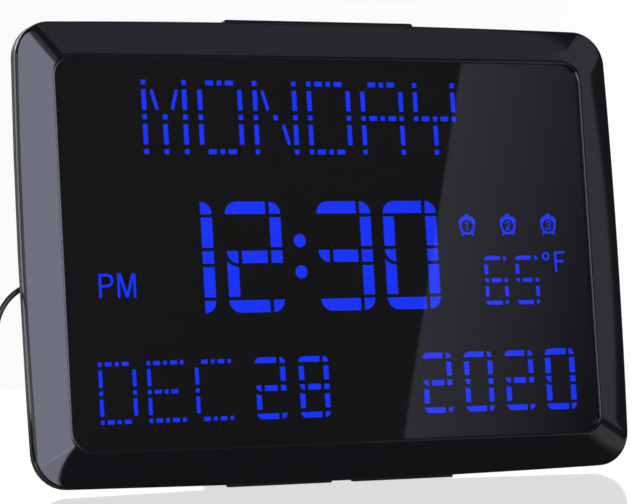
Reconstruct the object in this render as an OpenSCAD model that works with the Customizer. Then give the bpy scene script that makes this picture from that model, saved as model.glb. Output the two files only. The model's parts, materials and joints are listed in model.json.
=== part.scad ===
// Desk or wall day clock: a framed lit display that spells out the day, with the time, date,
// year and temperature, a press bar on top, keys and a fold-out stand behind, and its mains lead.
//
// Every piece of the clock is drawn upright: x to the right, y to the back and z up, from the
// middle of the display window, with y = 0 at the window's raised lip. leaned() then tips the
// clock back and stands it on the ground. The lead is drawn on the ground directly.

/* [Front frame] */
// Width of the frame from corner to corner, before its sides bow out
frame_w = 307; // [300:1:330]
// Height of the frame from corner to corner, before its sides bow out
frame_h = 212.6; // [208:0.2:230]
// Radius of the frame's outer corners
frame_r = 16; // [12:0.5:24]
// How far each side of the frame bows out at its middle
side_bow = 1.7; // [0:0.1:3]
// Breadth of the sloped bezel at the left and the right of the window
bezel_w = 16.9; // [15.5:0.1:22]
// Breadth of the sloped bezel above and below the window
bezel_h = 16.3; // [15:0.1:20]
// Radius of the window's corners
window_r = 9.5; // [6:0.5:14]
// How far the frame's outer edge lies behind the window's lip
bezel_drop = 3.8; // [2.5:0.1:5]
// Depth of the frame's side wall, from the bezel's edge to the seam
frame_side = 4.1; // [3.6:0.1:6]
// Wall thickness of the frame and the rear cover
shell = 2.2; // [1.8:0.1:2.6]
// How far the whole clock leans back on its stand, in degrees
lean = 7.63; // [5:0.01:12]

/* [Display] */
// Depth of the window's lip in front of the lens
lip_depth = 1.6; // [1:0.1:2.5]
// Thickness of the tinted lens
lens_t = 1.5; // [1:0.1:2.5]
// How far the lens reaches behind the lip on each side
lens_lap = 3.5; // [2:0.1:4]
// Thickness of the black light box behind the lens
mask_t = 4; // [3:0.1:5]
// Thickness of the light pads that fill the light box's windows
pad_t = 2; // [1:0.1:3]
// Thickness of the circuit boards
board_t = 1.6; // [1:0.1:2]
// Sideways place of the displayed characters in the window
display_x = 1.3; // [-3:0.1:3]
// Height of the displayed characters in the window
display_z = 0.3; // [-2:0.1:2]

/* [Characters] */
// Spacing of the nine day characters
day_pitch = 28.06; // [26:0.01:29]
// Height of the day row's middle above the window's middle
day_z = 62.4; // [58:0.1:66]
// Width between the dot columns of a day character
dot_pitch_x = 10.15; // [9:0.05:11]
// Height between the dot rows of a day character
dot_pitch_z = 16.15; // [14:0.05:17]
// Size of a day character's dots
dot = 2.35; // [2:0.05:3]
// Size of the month's characters against the day's
month_scale = 0.815; // [0.7:0.005:0.85]
// Width of a time digit
time_w = 28.4; // [24:0.1:29.5]
// Height of a time digit
time_h = 51.8; // [44:0.1:54]
// Breadth of a time digit's bars
time_bar = 5.8; // [4:0.1:7]
// Spacing of the time digits
time_pitch = 34.9; // [32:0.1:35]
// Width of a date or year digit
date_w = 15.4; // [13:0.1:17]
// Height of a date or year digit
date_h = 28.8; // [24:0.1:30]
// Spacing of the date and year digits
date_pitch = 22.25; // [19:0.05:22.5]
// Width of a temperature digit
degree_w = 12.6; // [11:0.1:14]
// Height of a temperature digit
degree_h = 23.6; // [20:0.1:25]

/* [Rear cover] */
// Depth of the rear cover's rim, from the seam to its back
rim_side = 4.2; // [3.8:0.1:5]
// Width of the raised box on the rear cover
box_w = 236; // [232:1:246]
// Height of the raised box on the rear cover
box_h = 164; // [160:1:172]
// Depth of the raised box behind the rim
box_d = 19.9; // [18:0.1:24]
// Corner radius of the raised box
box_r = 14; // [8:0.5:20]
// Distance between the two wall hooks' keyholes
keyhole_span = 150; // [120:1:170]
// Radius of a keyhole's round entry
keyhole_r = 4.5; // [4:0.1:5.5]
// Width of a keyhole's slot
keyhole_slot = 4.4; // [3.5:0.1:5]
// Radius of the holes in the speaker's grille
grille_hole_r = 1.2; // [0.8:0.05:1.5]
// Number of cooling slots along the top and the bottom of the box
vent_count = 12; // [6:1:14]

/* [Keys and press bar] */
// Length of the press bar on top
bar_w = 99; // [80:1:110]
// Breadth of the press bar
bar_d = 5.6; // [4.5:0.1:6]
// How far the press bar stands above the frame's edge
bar_proud = 1.3; // [1.1:0.1:3]
// Travel of the press bar
bar_travel = 1; // [0.5:0.1:1]
// Length of a rear key
key_w = 13; // [10:0.5:16]
// Height of a rear key
key_h = 7.5; // [6:0.5:9]
// How far a rear key stands out
key_proud = 1.4; // [1.2:0.1:2.5]
// Travel of a rear key
key_travel = 1; // [0.5:0.1:1]
// Spacing of the rear keys
key_pitch = 21; // [19:0.5:23]

/* [Stand] */
// Width of the fold-out stand
leg_w = 91; // [70:1:96]
// Thickness of the stand's plate
leg_t = 3; // [2.5:0.1:3.2]
// Radius of the stand's hinge pin
pin_r = 1.5; // [1.2:0.1:1.7]
// How far the stand swings out from the clock's back, in degrees
leg_open = 50; // [44:1:56]

/* [Lead] */
// Diameter of the lead
cord_d = 2.6; // [2.4:0.1:2.7]
// Number of loops in the coil
coil_loops = 13; // [8:0.25:13]
// Radius of the coil's outermost loop
coil_r = 20.3; // [20:0.1:22]
// Step from one loop of the coil to the next, sideways and up
coil_step = 3.1; // [3.1:0.05:3.3]
// Size of the mains adapter's case, along x, y and z
adapter = [38, 46, 26]; // [20:1:60]

/* [Hidden] */
// Ring lists: corner_steps facets round each corner and side_steps along each side
corner_steps = 8;
side_steps = 8;
arc_steps = 5;
$fn = 48;

window_w = frame_w - 2 * bezel_w;
window_h = frame_h - 2 * bezel_h;

seam_gap = 0.4;             // shadow line between the frame and the rear cover
seam_y = bezel_drop + frame_side;
rim_y0 = seam_y + seam_gap / 2;
rim_y1 = rim_y0 + rim_side - seam_gap / 2;
frame_y1 = seam_y - seam_gap / 2;
flange_y0 = rim_y1 - shell;
box_y1 = rim_y1 + box_d;
plate_y0 = box_y1 - shell;  // inner face of the box's back plate

lens_y0 = lip_depth;
lens_y1 = lens_y0 + lens_t;
slip = 0.1;                 // clearance between parts laid together
pocket = 0.2;               // clearance round what sits in a pocket
mask_y0 = lens_y1 + slip;
mask_y1 = mask_y0 + mask_t;
led_t = 0.7;
board_y0 = mask_y1 + led_t + 0.2;
board_y1 = board_y0 + board_t;
rib_t = 2.3;                // rib behind the lip, round the lens and the light box
rib_lap = lens_lap + pocket;
board_w = window_w + 2 * lens_lap - 1;
board_h = window_h + 2 * lens_lap - 1;

// The characters are laid out for a window of the drawn size, and stretch with the window
drawn_w = 273.2;
drawn_h = 180;
stretch = [window_w / drawn_w, window_h / drawn_h];

// The clock's height over the ground: the rim's lower back edge clears it by ground_gap
ground_gap = 0.4;
stand_h = rim_y1 * sin(lean) + (frame_h / 2 + side_bow) * cos(lean) + ground_gap;

// The stand's hinge and its reach to the ground
barrel_r = 2.8;
recess_y0 = box_y1 - 2 * barrel_r - pocket;
hinge_y = box_y1 - barrel_r;
hinge_z = -box_h / 2 + 18;
hinge_ground = stand_h - hinge_y * sin(lean) + hinge_z * cos(lean);
leg_slope = leg_open - lean;
leg_l = hinge_ground / cos(leg_slope);
leg_front = -barrel_r;      // the plate's face, seen from the hinge's axis
foot_l = 9;
foot_back = 2.8;            // the shoe's back face, seen from the hinge's axis
hinge_back = hinge_y * cos(lean) + hinge_z * sin(lean);
leg_reach = hinge_back + leg_l * sin(leg_slope) + foot_back / cos(leg_slope);
recess_drop = (leg_front * -1 + pocket + barrel_r * cos(leg_open)) / sin(leg_open);
recess_w = leg_w + 2 * 0.5;
recess_z1 = hinge_z + leg_l + 3;
ear_t = 4;

// The clock's depth on the ground runs from the lip's lower edge to the stand's tip
lip_round = 0.7;
front_reach = -(window_h / 2 + lip_round) * sin(lean);
ground_y = -(front_reach + leg_reach) / 2;

// Snooze bar: the bar straddles the seam
bar_y0 = seam_y - bar_d / 2;
bar_y1 = seam_y + bar_d / 2;
slot_gap = 0.3;
top_z = frame_h / 2 + side_bow;
lap_gap = 0.15;             // the cover's tongue inside the frame's wall, and its thickness
lap_t = 1;
bar_foot_x = 2.5;           // feet at the bar's ends hold it behind the tongue
bar_foot_z1 = top_z - side_bow * pow((bar_w + 2 * bar_foot_x) / frame_w, 2) - shell - lap_gap - lap_t
    - slot_gap;
bar_z0 = bar_foot_z1 - 1;
slot_z0 = bar_z0 - bar_travel - slot_gap;
press_board_t = 1;
press_y1 = flange_y0 - slip;
press_y0 = press_y1 - press_board_t;
press_switch_t = 1.9;
press_z0 = board_h / 2 + 0.8;
press_z1 = press_z0 + 5.9;  // top of the press bar's switches
press_switch_x = 30;
press_stem_r = 0.55;

// Rear keys, with their board and switches
key_z = box_h / 2 - 20;
key_x0 = -2 * key_pitch;
key_skirt = 1.2;
key_board_y0 = plate_y0 - 9;
key_board_y1 = key_board_y0 + board_t;
tact = 6;
tact_h = 3.5;
stem_r = 1.6;
stem_in = 0.3;
key_post_x = 2 * key_pitch + 15;
key_post_z = 9;

// Supply inlet on the box's left side
jack_y = board_y1 + 8.5;
jack_z = -12.6;
jack_r = 5.4;
socket_r = 2.85;
plug_barrel_r = 2.75;
plug_pin_r = 0.95;
plug_r = 4.8;
plug_l = 12.6;
relief_l = 10;
side_x = -box_w / 2;
exit_x = side_x - 0.4 - plug_l - relief_l;

// Backup cell under its sliding door
cell_r = 10;
cell_t = 3.2;
door_w = 36;
door_h = 30;
door_t = 2;
door_z = -44;
door_x0 = box_w / 2 - door_w;
tongue = 1.2;
door_pad_t = 5.9;

speaker_r = 14;
speaker_t = 7;
speaker_x = -80;
speaker_z = -42;
keyhole_z = 36;
keyhole_rise = 8;

screw_r = 1.5;
screw_head_r = 2.9;
boss_r = 2.8;
boss_x = ((window_w + frame_w) / 2 + rib_lap + rib_t - shell) / 2;
boss_z = ((window_h + frame_h) / 2 + rib_lap + rib_t - shell) / 2;
// Case screws: one near each corner, and two along the top and the bottom
screw_down = 40;            // from the frame's top or bottom to a corner's screw
screw_aside = 18;           // from the press bar's end to a screw of the top or the bottom
case_screws_at = [for (sx = [-1, 1], sz = [-1, 1])
    each [[sx * boss_x, sz * (frame_h / 2 - screw_down)], [sx * (bar_w / 2 + screw_aside), sz * boss_z]]];
// Board screws, in the light box's dark stretches between the rows
board_screws_at = [for (x = [-100, -8, 100], z = [-40, 36]) [x * stretch.x, z * stretch.y]];
board_screw_l = 2.8;
pry_z = frame_h / 2 - 14.8;
pry_w = 3.8;

foot_x = 32;
foot_w = 53;
foot_d = 3;
foot_in = 1;

// Route of the lead, in millimetres on the ground under the window's middle: out of the plug,
// over and down to the ground, and into the coil; then from the coil's top into the adapter
cord_r = cord_d / 2;
route_in = [[-141, 16.4, 94.1], [-144, 16.4, 94.1], [-148, 16.4, 93.6], [-152, 16.4, 92.1],
    [-156, 16.4, 89.3], [-159, 16.4, 86.1], [-161.5, 16.4, 82], [-163, 16.4, 77.5],
    [-163.7, 16.4, 72], [-163.7, 16.4, 62], [-163.7, 16.4, 52], [-163.7, 16.4, 42],
    [-163.7, 16.4, 32], [-163.7, 16.6, 25], [-163.7, 17.6, 19], [-163.7, 19.8, 13],
    [-163.7, 23.2, 8], [-163.7, 27.5, 4.6], [-163.7, 32.5, 2.6], [-163.7, 38, 2.1],
    [-163.7, 42.4, 2.1]];
route_out = [[-163.7, 47.6, 11.4], [-163.7, 50, 11.4], [-163.7, 54, 11.7], [-163.7, 58, 12.3],
    [-163.7, 62, 12.9], [-163.7, 66, 13]];
lead_last = route_out[len(route_out) - 1];
coil_at = [lead_last.x - coil_r, 45, 2.1];
coil_layers = 4;
coil_rings = 24;
tie_t = 0.6;
tie_w = 4;
grommet_l = 12;
adapter_at = [lead_last.x - adapter.x / 2, lead_last.y + grommet_l];
blade = [17.5, 1.5, 6.4];
blade_span = 12.7;

// ---------------------------------------------------------------- frames and flat shapes

// Tips the upright clock back and stands it on the ground
module leaned() {
    translate([0, ground_y, stand_h]) rotate([-lean, 0, 0]) children();
}

// Stands a flat drawing up in the x-z plane, from y0 to y1
module slab(y0, y1) {
    translate([0, y1, 0]) rotate([90, 0, 0]) linear_extrude(y1 - y0) children();
}

// A block given by its low and high corners
module block(low, high) {
    translate(low) cube(high - low);
}

// A rod along x, y or z
module rod_x(x0, x1, y, z, r) {
    translate([x0, y, z]) rotate([0, 90, 0]) cylinder(h = x1 - x0, r = r);
}

module rod_y(y0, y1, x, z, r) {
    translate([x, y0, z]) rotate([-90, 0, 0]) cylinder(h = y1 - y0, r = r);
}

module rod_z(z0, z1, x, y, r) {
    translate([x, y, z0]) cylinder(h = z1 - z0, r = r);
}

// A rectangle with round corners
module round_rect(w, h, r) {
    square([w - 2 * r, h], center = true);
    square([w, h - 2 * r], center = true);
    for (sx = [-1, 1], sz = [-1, 1]) translate([sx * (w / 2 - r), sz * (h / 2 - r)]) circle(r);
}

// A slot with round ends along x
module stadium(w, h) {
    square([w - h, h], center = true);
    for (s = [-1, 1]) translate([s * (w - h) / 2, 0]) circle(h / 2);
}

// Points of an arc about c
function arc(c, r, a0, a1, n = arc_steps) =
    [for (i = [0:n]) c + r * [cos(a0 + (a1 - a0) * i / n), sin(a0 + (a1 - a0) * i / n)]];

// A rectangle from its centre and size, as a list of points
function box_points(c, s) = [c + [-s.x, -s.y] / 2, c + [s.x, -s.y] / 2, c + s / 2, c + [-s.x, s.y] / 2];

// ---------------------------------------------------------------- frame and rear cover

// A closed outline: a rectangle w by h with corners of radius r, moved out by d, its sides
// bowed out by bow in a parabola. Every outline has its points in the same order.
function bowed(p, w, h, bow) = [
    p.x * (1 + 2 * bow / w * (1 - pow(2 * p.y / h, 2))),
    p.y * (1 + 2 * bow / h * (1 - pow(2 * p.x / w, 2)))];
function outline(w, h, r, bow, d) = [for (q = [0:3], p =
    let (sx = [1, -1, -1, 1][q], sz = [1, 1, -1, -1][q],
        c = [sx * (w / 2 - r), sz * (h / 2 - r)],
        across = [[-1, 0], [0, -1], [1, 0], [0, 1]][q],
        run = q % 2 == 0 ? w - 2 * r : h - 2 * r,
        corner = arc(c, r + d, 90 * q, 90 * q + 90, corner_steps),
        last = corner[corner_steps])
    concat(corner, [for (i = [1:side_steps - 1]) last + across * run * i / side_steps]))
    bowed(p, w + 2 * d, h + 2 * d, bow)];
function frame_line(d) = outline(frame_w, frame_h, frame_r, side_bow, d);
function window_line(d) = outline(window_w, window_h, window_r, 0, d);

// A ring-shaped solid: its rings, each [points, y], are joined in turn and back to the first
module ring_solid(rings) {
    n = len(rings[0][0]);
    m = len(rings);
    polyhedron([for (ring = rings, p = ring[0]) [p.x, ring[1], p.y]],
        [for (j = [0:m - 1], i = [0:n - 1], half = [0, 1])
            let (a = j * n + i, b = j * n + (i + 1) % n,
                c = (j + 1) % m * n + i, d = (j + 1) % m * n + (i + 1) % n)
            half == 0 ? [a, b, d] : [a, d, c]]);
}

module front_frame() color([0.05, 0.05, 0.055]) leaned() difference() {
    union() {
        ring_solid([
            [window_line(0), lip_depth], [window_line(0), 0.6], [window_line(0.2), 0.2],
            [window_line(lip_round), 0], [frame_line(-1.2), bezel_drop - 0.35],
            [frame_line(-0.35), bezel_drop + 0.1], [frame_line(0), bezel_drop + 0.8],
            [frame_line(0), frame_y1], [frame_line(-shell), frame_y1],
            [frame_line(-shell), bezel_drop + shell],
            [window_line(rib_lap + rib_t), lip_depth + shell],
            [window_line(rib_lap + rib_t), frame_y1 - 0.7],
            [window_line(rib_lap), frame_y1 - 0.7], [window_line(rib_lap), lip_depth]]);
        for (p = case_screws_at) rod_y(bezel_drop, flange_y0 - slip, p.x, p.y, boss_r);
    }
    for (p = case_screws_at) rod_y(bezel_drop + 1.2, flange_y0 + 1, p.x, p.y, screw_r);
    bar_slot(bar_y0 - slot_gap, frame_y1 + 1);
    // slots in the side walls, where the frame is pried off
    for (s = [-1, 1]) block([s * (frame_w / 2 - 0.5) - 2.6, bezel_drop + 1.1, -pry_z - pry_w / 2],
        [s * (frame_w / 2 - 0.5) + 2.6, frame_y1 + 1, -pry_z + pry_w / 2]);
}

// The press bar's slot, cut from both shells
module bar_slot(y0, y1) {
    block([-bar_w / 2 - slot_gap, y0, slot_z0], [bar_w / 2 + slot_gap, y1, top_z + 3]);
}

module box_shape(grow = 0) {
    round_rect(box_w + 2 * grow, box_h + 2 * grow, box_r + grow);
}

module rear_cover() color([0.07, 0.07, 0.075]) leaned() difference() {
    union() {
        difference() {
            union() {
                slab(rim_y0, rim_y1 - 1.2) polygon(frame_line(0));
                slab(rim_y1 - 1.3, rim_y1) polygon(frame_line(-0.9));
                slab(frame_y1 - 1.2, rim_y0 + 0.5) polygon(frame_line(-shell - lap_gap));
                slab(rim_y1 - 1, box_y1) box_shape();
            }
            slab(frame_y1 - 2, flange_y0) polygon(frame_line(-shell - lap_gap - lap_t));
            slab(flange_y0 - 1, plate_y0) box_shape(-shell);
        }
        rear_cover_inside();
    }
    rear_cover_cuts();
}

// What the rear cover carries on its inner side
module rear_cover_inside() {
    // pan of the stand's recess, with the ears that hold the hinge pin
    block([-recess_w / 2 - shell, recess_y0 - shell, hinge_z - recess_drop - shell],
        [recess_w / 2 + shell, plate_y0 + 0.5, recess_z1 + shell]);
    for (s = [-1, 1]) translate([s * (recess_w / 2 + ear_t / 2), 0, 0])
        block([-ear_t / 2 - 0.1, recess_y0 - shell, hinge_z - 6], [ear_t / 2, plate_y0 + 0.5, hinge_z + 6]);
    // seat of the backup cell and its door
    block([door_x0 - 4, box_y1 - door_pad_t - 1.4, door_z - door_h / 2 - 3.5],
        [box_w / 2 - shell + 0.5, plate_y0 + 0.5, door_z + door_h / 2 + 3.5]);
    // ring that centres the speaker, and the posts of the key board
    slab(plate_y0 - 5, plate_y0 + 0.5) translate([speaker_x, speaker_z]) difference() {
        circle(speaker_r + 2);
        circle(speaker_r + pocket);
    }
    for (sx = [-1, 1], sz = [-1, 1])
        rod_y(key_board_y1, plate_y0 + 0.5, sx * key_post_x, key_z + sz * key_post_z, 3);
}

module rear_cover_cuts() {
    // recess of the stand, its hinge pin and the slot of the press bar
    block([-recess_w / 2, recess_y0, hinge_z - recess_drop], [recess_w / 2, box_y1 + 1, recess_z1]);
    rod_x(-recess_w / 2 - ear_t + 1, recess_w / 2 + ear_t - 1, hinge_y, hinge_z, pin_r + 0.02);
    bar_slot(rim_y0 - 3, bar_y1 + slot_gap);
    // backup cell, and the door's bed and tongue grooves, open to the box's side
    rod_y(box_y1 - door_t - cell_t - pocket - 0.2, box_y1, door_x0 + door_w / 2 - 1, door_z,
        cell_r + pocket);
    block([door_x0 - pocket, box_y1 - door_t - pocket, door_z - door_h / 2 - pocket],
        [box_w / 2 + 1, box_y1 + 1, door_z + door_h / 2 + pocket]);
    block([door_x0 - pocket, box_y1 - door_t - pocket, door_z - door_h / 2 - tongue - pocket],
        [box_w / 2 + 1, box_y1 - door_t / 2 + pocket / 2, door_z + door_h / 2 + tongue + pocket]);
    // speaker grille: a middle hole and two rings
    for (ring = [0:2], i = [0:max(0, 6 * ring - 1)]) rod_y(plate_y0 - 1, box_y1 + 1,
        speaker_x + 4.2 * ring * cos(60 * i / max(1, ring)),
        speaker_z + 4.2 * ring * sin(60 * i / max(1, ring)), grille_hole_r);
    // keys
    for (i = [0:4]) slab(plate_y0 - 1, box_y1 + 1) translate([key_x0 + i * key_pitch, key_z])
        stadium(key_w + 2 * slot_gap, key_h + 2 * slot_gap);
    for (sx = [-1, 1], sz = [-1, 1])
        rod_y(key_board_y1 - 1, plate_y0 - 0.5, sx * key_post_x, key_z + sz * key_post_z, 0.9);
    // keyholes: a round entry and a slot above it
    for (s = [-1, 1]) translate([s * keyhole_span / 2, 0, keyhole_z]) {
        rod_y(plate_y0 - 1, box_y1 + 1, 0, 0, keyhole_r);
        rod_y(plate_y0 - 1, box_y1 + 1, 0, keyhole_rise, keyhole_slot / 2);
        block([-keyhole_slot / 2, plate_y0 - 1, 0], [keyhole_slot / 2, box_y1 + 1, keyhole_rise]);
    }
    // cooling slots through the box's top and bottom walls
    for (i = [0:vent_count - 1], s = [-1, 1]) translate([(i - (vent_count - 1) / 2) * 8, 0, s * box_h / 2])
        block([-1.2, rim_y1 + 3.5, -shell - 1], [1.2, plate_y0 - 4, shell + 1]);
    // supply inlet, case screws and front feet
    rod_x(side_x - 1, side_x + shell + 1, jack_y, jack_z, jack_r + pocket);
    for (p = case_screws_at) {
        rod_y(flange_y0 - 1, rim_y1 + 1, p.x, p.y, screw_r + pocket);
        rod_y(rim_y1 - 0.9, rim_y1 + 1, p.x, p.y, screw_head_r + pocket);
    }
    for (s = [-1, 1]) foot_block(s);
}

module display_lens() color([0.03, 0.03, 0.04, 0.5]) leaned() slab(lens_y0, lens_y1)
    round_rect(window_w + 2 * lens_lap, window_h + 2 * lens_lap, window_r + lens_lap);

// ---------------------------------------------------------------- displayed characters
// Each character is a list of outlines in the window's plane; cut is how much smaller an
// outline is drawn all round, so that a light pad fits its window in the light box.

// Letters on a grid of five by five: dots at the even places, bars and slants between them
function letter(name) =
    name == "M" ? ["#...#", "##.##", "#.#.#", "#.#.#", "#.#.#"] :
    name == "O" ? [".###.", "#...#", "#...#", "#...#", ".###."] :
    name == "N" ? ["#...#", "##..#", "#.#.#", "#..##", "#...#"] :
    name == "D" ? ["####.", "#...#", "#...#", "#...#", "####."] :
    name == "A" ? [".###.", "#...#", "#####", "#...#", "#...#"] :
    name == "Y" ? ["#...#", "#...#", "#####", "..#..", "..#.."] :
    name == "E" ? ["#####", "#....", "####.", "#....", "#####"] :
    [".####", "#....", "#....", "#....", ".####"];

// A slanted bar in a box of size s about c: it falls to the right if lean_to is 1
function slant(c, s, breadth, lean_to, cut) = let (x = s.x / 2 - cut, z = s.y / 2 - cut,
    t = breadth * 0.55 - cut, u = breadth * 0.7 - cut)
    [for (p = [[-x, z], [-x + t, z], [x, -z + u], [x, -z], [x - t, -z], [-x, z - u]])
        c + [lean_to * p.x, p.y]];

function letter_shape(c, col, row, k, cut) =
    let (at = c + k * [(col - 2) * dot_pitch_x / 2, (2 - row) * dot_pitch_z / 2],
        bar_x = dot_pitch_x - dot - 3.6, bar_z = dot_pitch_z - dot - 4.3)
    col % 2 == 1 && row % 2 == 1
        ? slant(at, k * [bar_x - 0.6, bar_z], k * dot, (col == 1) == (row == 1) ? 1 : -1, cut)
        : box_points(at, k * [col % 2 == 0 ? dot : bar_x, row % 2 == 0 ? dot : bar_z] - 2 * [cut, cut]);

function word(name, c, pitch, k, cut) = [for (i = [0:len(name) - 1], row = [0:4], col = [0:4])
    if (letter(name[i])[row][col] == "#") letter_shape(c + [i * pitch, 0], col, row, k, cut)];

// Digits of eleven bars, in the order top, top right corner, upper right, middle right,
// lower right, bottom right corner, bottom, lower left, middle left corner, upper left, middle
function digit_bars(n) = [[0, 1, 2, 3, 4, 5, 6, 7, 8, 9], [1, 2, 3, 4, 5],
    [0, 1, 2, 3, 5, 6, 7, 8, 10], [0, 1, 2, 3, 4, 5, 6, 8, 10], [1, 2, 3, 4, 5, 8, 9, 10],
    [0, 1, 3, 4, 5, 6, 8, 9, 10], [0, 1, 3, 4, 5, 6, 7, 8, 9, 10], [0, 1, 2, 3, 4, 5],
    [0, 1, 2, 3, 4, 5, 6, 7, 8, 9, 10], [0, 1, 2, 3, 4, 5, 6, 8, 9, 10]][n];

// One bar of a digit w by h about the origin, with bars b broad and gaps g between them
function digit_bar(k, w, h, b, g, cut) =
    let (x = w / 2, z = h / 2, e = cut, r = b - cut, turn = asin(e / r),
        up = b / 2 + g.y + e, top = z - b - g.y - e,
        hollow_r = b + g.y + e, side = sqrt(pow(hollow_r, 2) - pow(b - e, 2)))
    k == 0 ? concat(arc([-x + b, z - b], r, 180 - turn, 90),
        [[x - b - g.x - e, z - e], [x - b - g.x - e, z - b + e]]) :
    k == 1 ? concat([[x - b + e, z - b + e]], arc([x - b, z - b], r, turn, 90 - turn)) :
    k == 2 ? [[x - b + e, up], [x - e, up], [x - e, top], [x - b + e, top]] :
    k == 3 ? box_points([x - b / 2, 0], [b - 2 * e, b - 2 * e]) :
    k == 8 ? concat([[-x + b - e, b / 2 - e]], arc([-x + b, b / 2], r, 180 + turn, 270 - turn)) :
    k == 7 ? concat([[-x + b - e, -top], [-x + e, -top]],
        [for (i = [0:arc_steps]) let (a = 180 + acos((b - e) / hollow_r)
            + (90 - acos((b - e) / hollow_r)) * i / arc_steps)
            [max(-x + e, -x + b + hollow_r * cos(a)), b / 2 + hollow_r * sin(a)]
                + [i == arc_steps ? -e : 0, 0]]) :
    k == 9 ? [[-x + e, up], [-x + b - e, up], [-x + b - e, top], [-x + e, top]] :
    k == 10 ? box_points([0, 0], [w - 2 * b - 2 * g.x - 2 * e, b - 2 * e]) :
    [for (p = digit_bar(6 - k, w, h, b, g, cut)) [p.x, -p.y]];
function digits(list, c, pitch, w, h, b, g, cut) = [for (i = [0:len(list) - 1], k = digit_bars(list[i]))
    [for (p = digit_bar(k, w, h, b, g, cut)) c + [i * pitch, 0] + p]];

// A band of breadth t along a line of points
function band(line, t) = let (n = len(line),
    away = [for (i = [0:n - 1]) let (d = line[min(n - 1, i + 1)] - line[max(0, i - 1)])
        [-d.y, d.x] / norm(d) * t / 2])
    concat([for (i = [0:n - 1]) line[i] + away[i]], [for (i = [n - 1:-1:0]) line[i] - away[i]]);

time_z = -3.05;
date_z = -64.3;
small_gap = [1.7, 1.9];
function day_list(cut) = word("MONDAY", [-3 * day_pitch, day_z], day_pitch, 1, cut);
function time_list(cut) = concat(
    digits([1], [-77.6, time_z], 0, time_w, time_h, time_bar, [1.9, 1.6], cut),
    digits([2], [-77.6 + time_pitch, time_z], 0, time_w, time_h, time_bar, [1.9, 1.6], cut),
    digits([3, 0], [4.3, time_z], time_pitch, time_w, time_h, time_bar, [1.9, 1.6], cut),
    [for (s = [-1, 1]) arc([-19.2, time_z + s * 7.35], 3.15 - cut, 0, 345, 23)]);
function month_list(cut) = word("DEC", [-114.4, date_z], 23.75, month_scale, cut);
function date_list(cut) =
    digits([2, 8], [-38.1, date_z], date_pitch, date_w, date_h, 2.7, small_gap, cut);
// The last year digit is a little larger than the others
function year_list(cut) = concat(
    digits([2, 0, 2], [49.1, date_z], date_pitch, date_w, date_h, 2.7, small_gap, cut),
    digits([0], [49.4 + 3 * date_pitch, date_z], 0, date_w + 1, date_h + 0.8, 3,
        small_gap - [0.2, 0.4], cut));
function degree_list(cut) =
    digits([6, 5], [84.2, -15.9], 17.1, degree_w, degree_h, 2, [1.6, 2], cut);

// Small lettering: its strokes, and the islands left inside closed letters
stroke = 1.3;
function p_outline(cut) = [for (p = concat([[cut, cut], [stroke - cut, cut], [stroke - cut, 4.7 + cut],
    [4.1, 4.7 + cut]], arc([4.1, 7.9], 3.2 - cut, -60, 60), [[4.1, 11.1 - cut], [cut, 11.1 - cut]]))
    p + [-121.2, -20.9]];
function p_island(cut) = [for (p = concat([[stroke + cut, 6 + cut], [4.1, 6 + cut]],
    arc([4.1, 7.9], 1.9 - cut, -60, 60), [[4.1, 9.8 - cut], [stroke + cut, 9.8 - cut]]))
    p + [-121.2, -20.9]];
function m_outline(cut) = let (w = 9.1, h = 11.1, c = cut, foot = 0.65 - 0.73 * c, hip = h - 2.9 + 6.5 * c)
    [for (p = [[c, c], [c, h - c], [1.9 - 0.74 * c, h - c], [w / 2, 2.6 - 3.4 * c],
    [w - 1.9 + 0.74 * c, h - c], [w - c, h - c], [w - c, c], [w - stroke + c, c],
    [w - stroke + c, hip], [w / 2 + foot, c], [w / 2 - foot, c], [stroke - c, hip],
    [stroke - c, c]]) p + [-112.1, -20.9]];
function f_outline(cut) = let (c = cut) [for (p = [[c, c], [1.3 - c, c], [1.3 - c, 4.5 + c],
    [5.1 - c, 4.5 + c], [5.1 - c, 5.7 - c], [1.3 - c, 5.7 - c], [1.3 - c, 8.8 + c],
    [5.9 - c, 8.8 + c], [5.9 - c, 10 - c], [c, 10 - c]]) p + [116.8, -12.2]];
degree_at = [112.1, -4.55];
icon_pitch = 22.3;
icon_at = [70, 10.45];
function icon_centre(i) = icon_at + [i * icon_pitch, 0];
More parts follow.
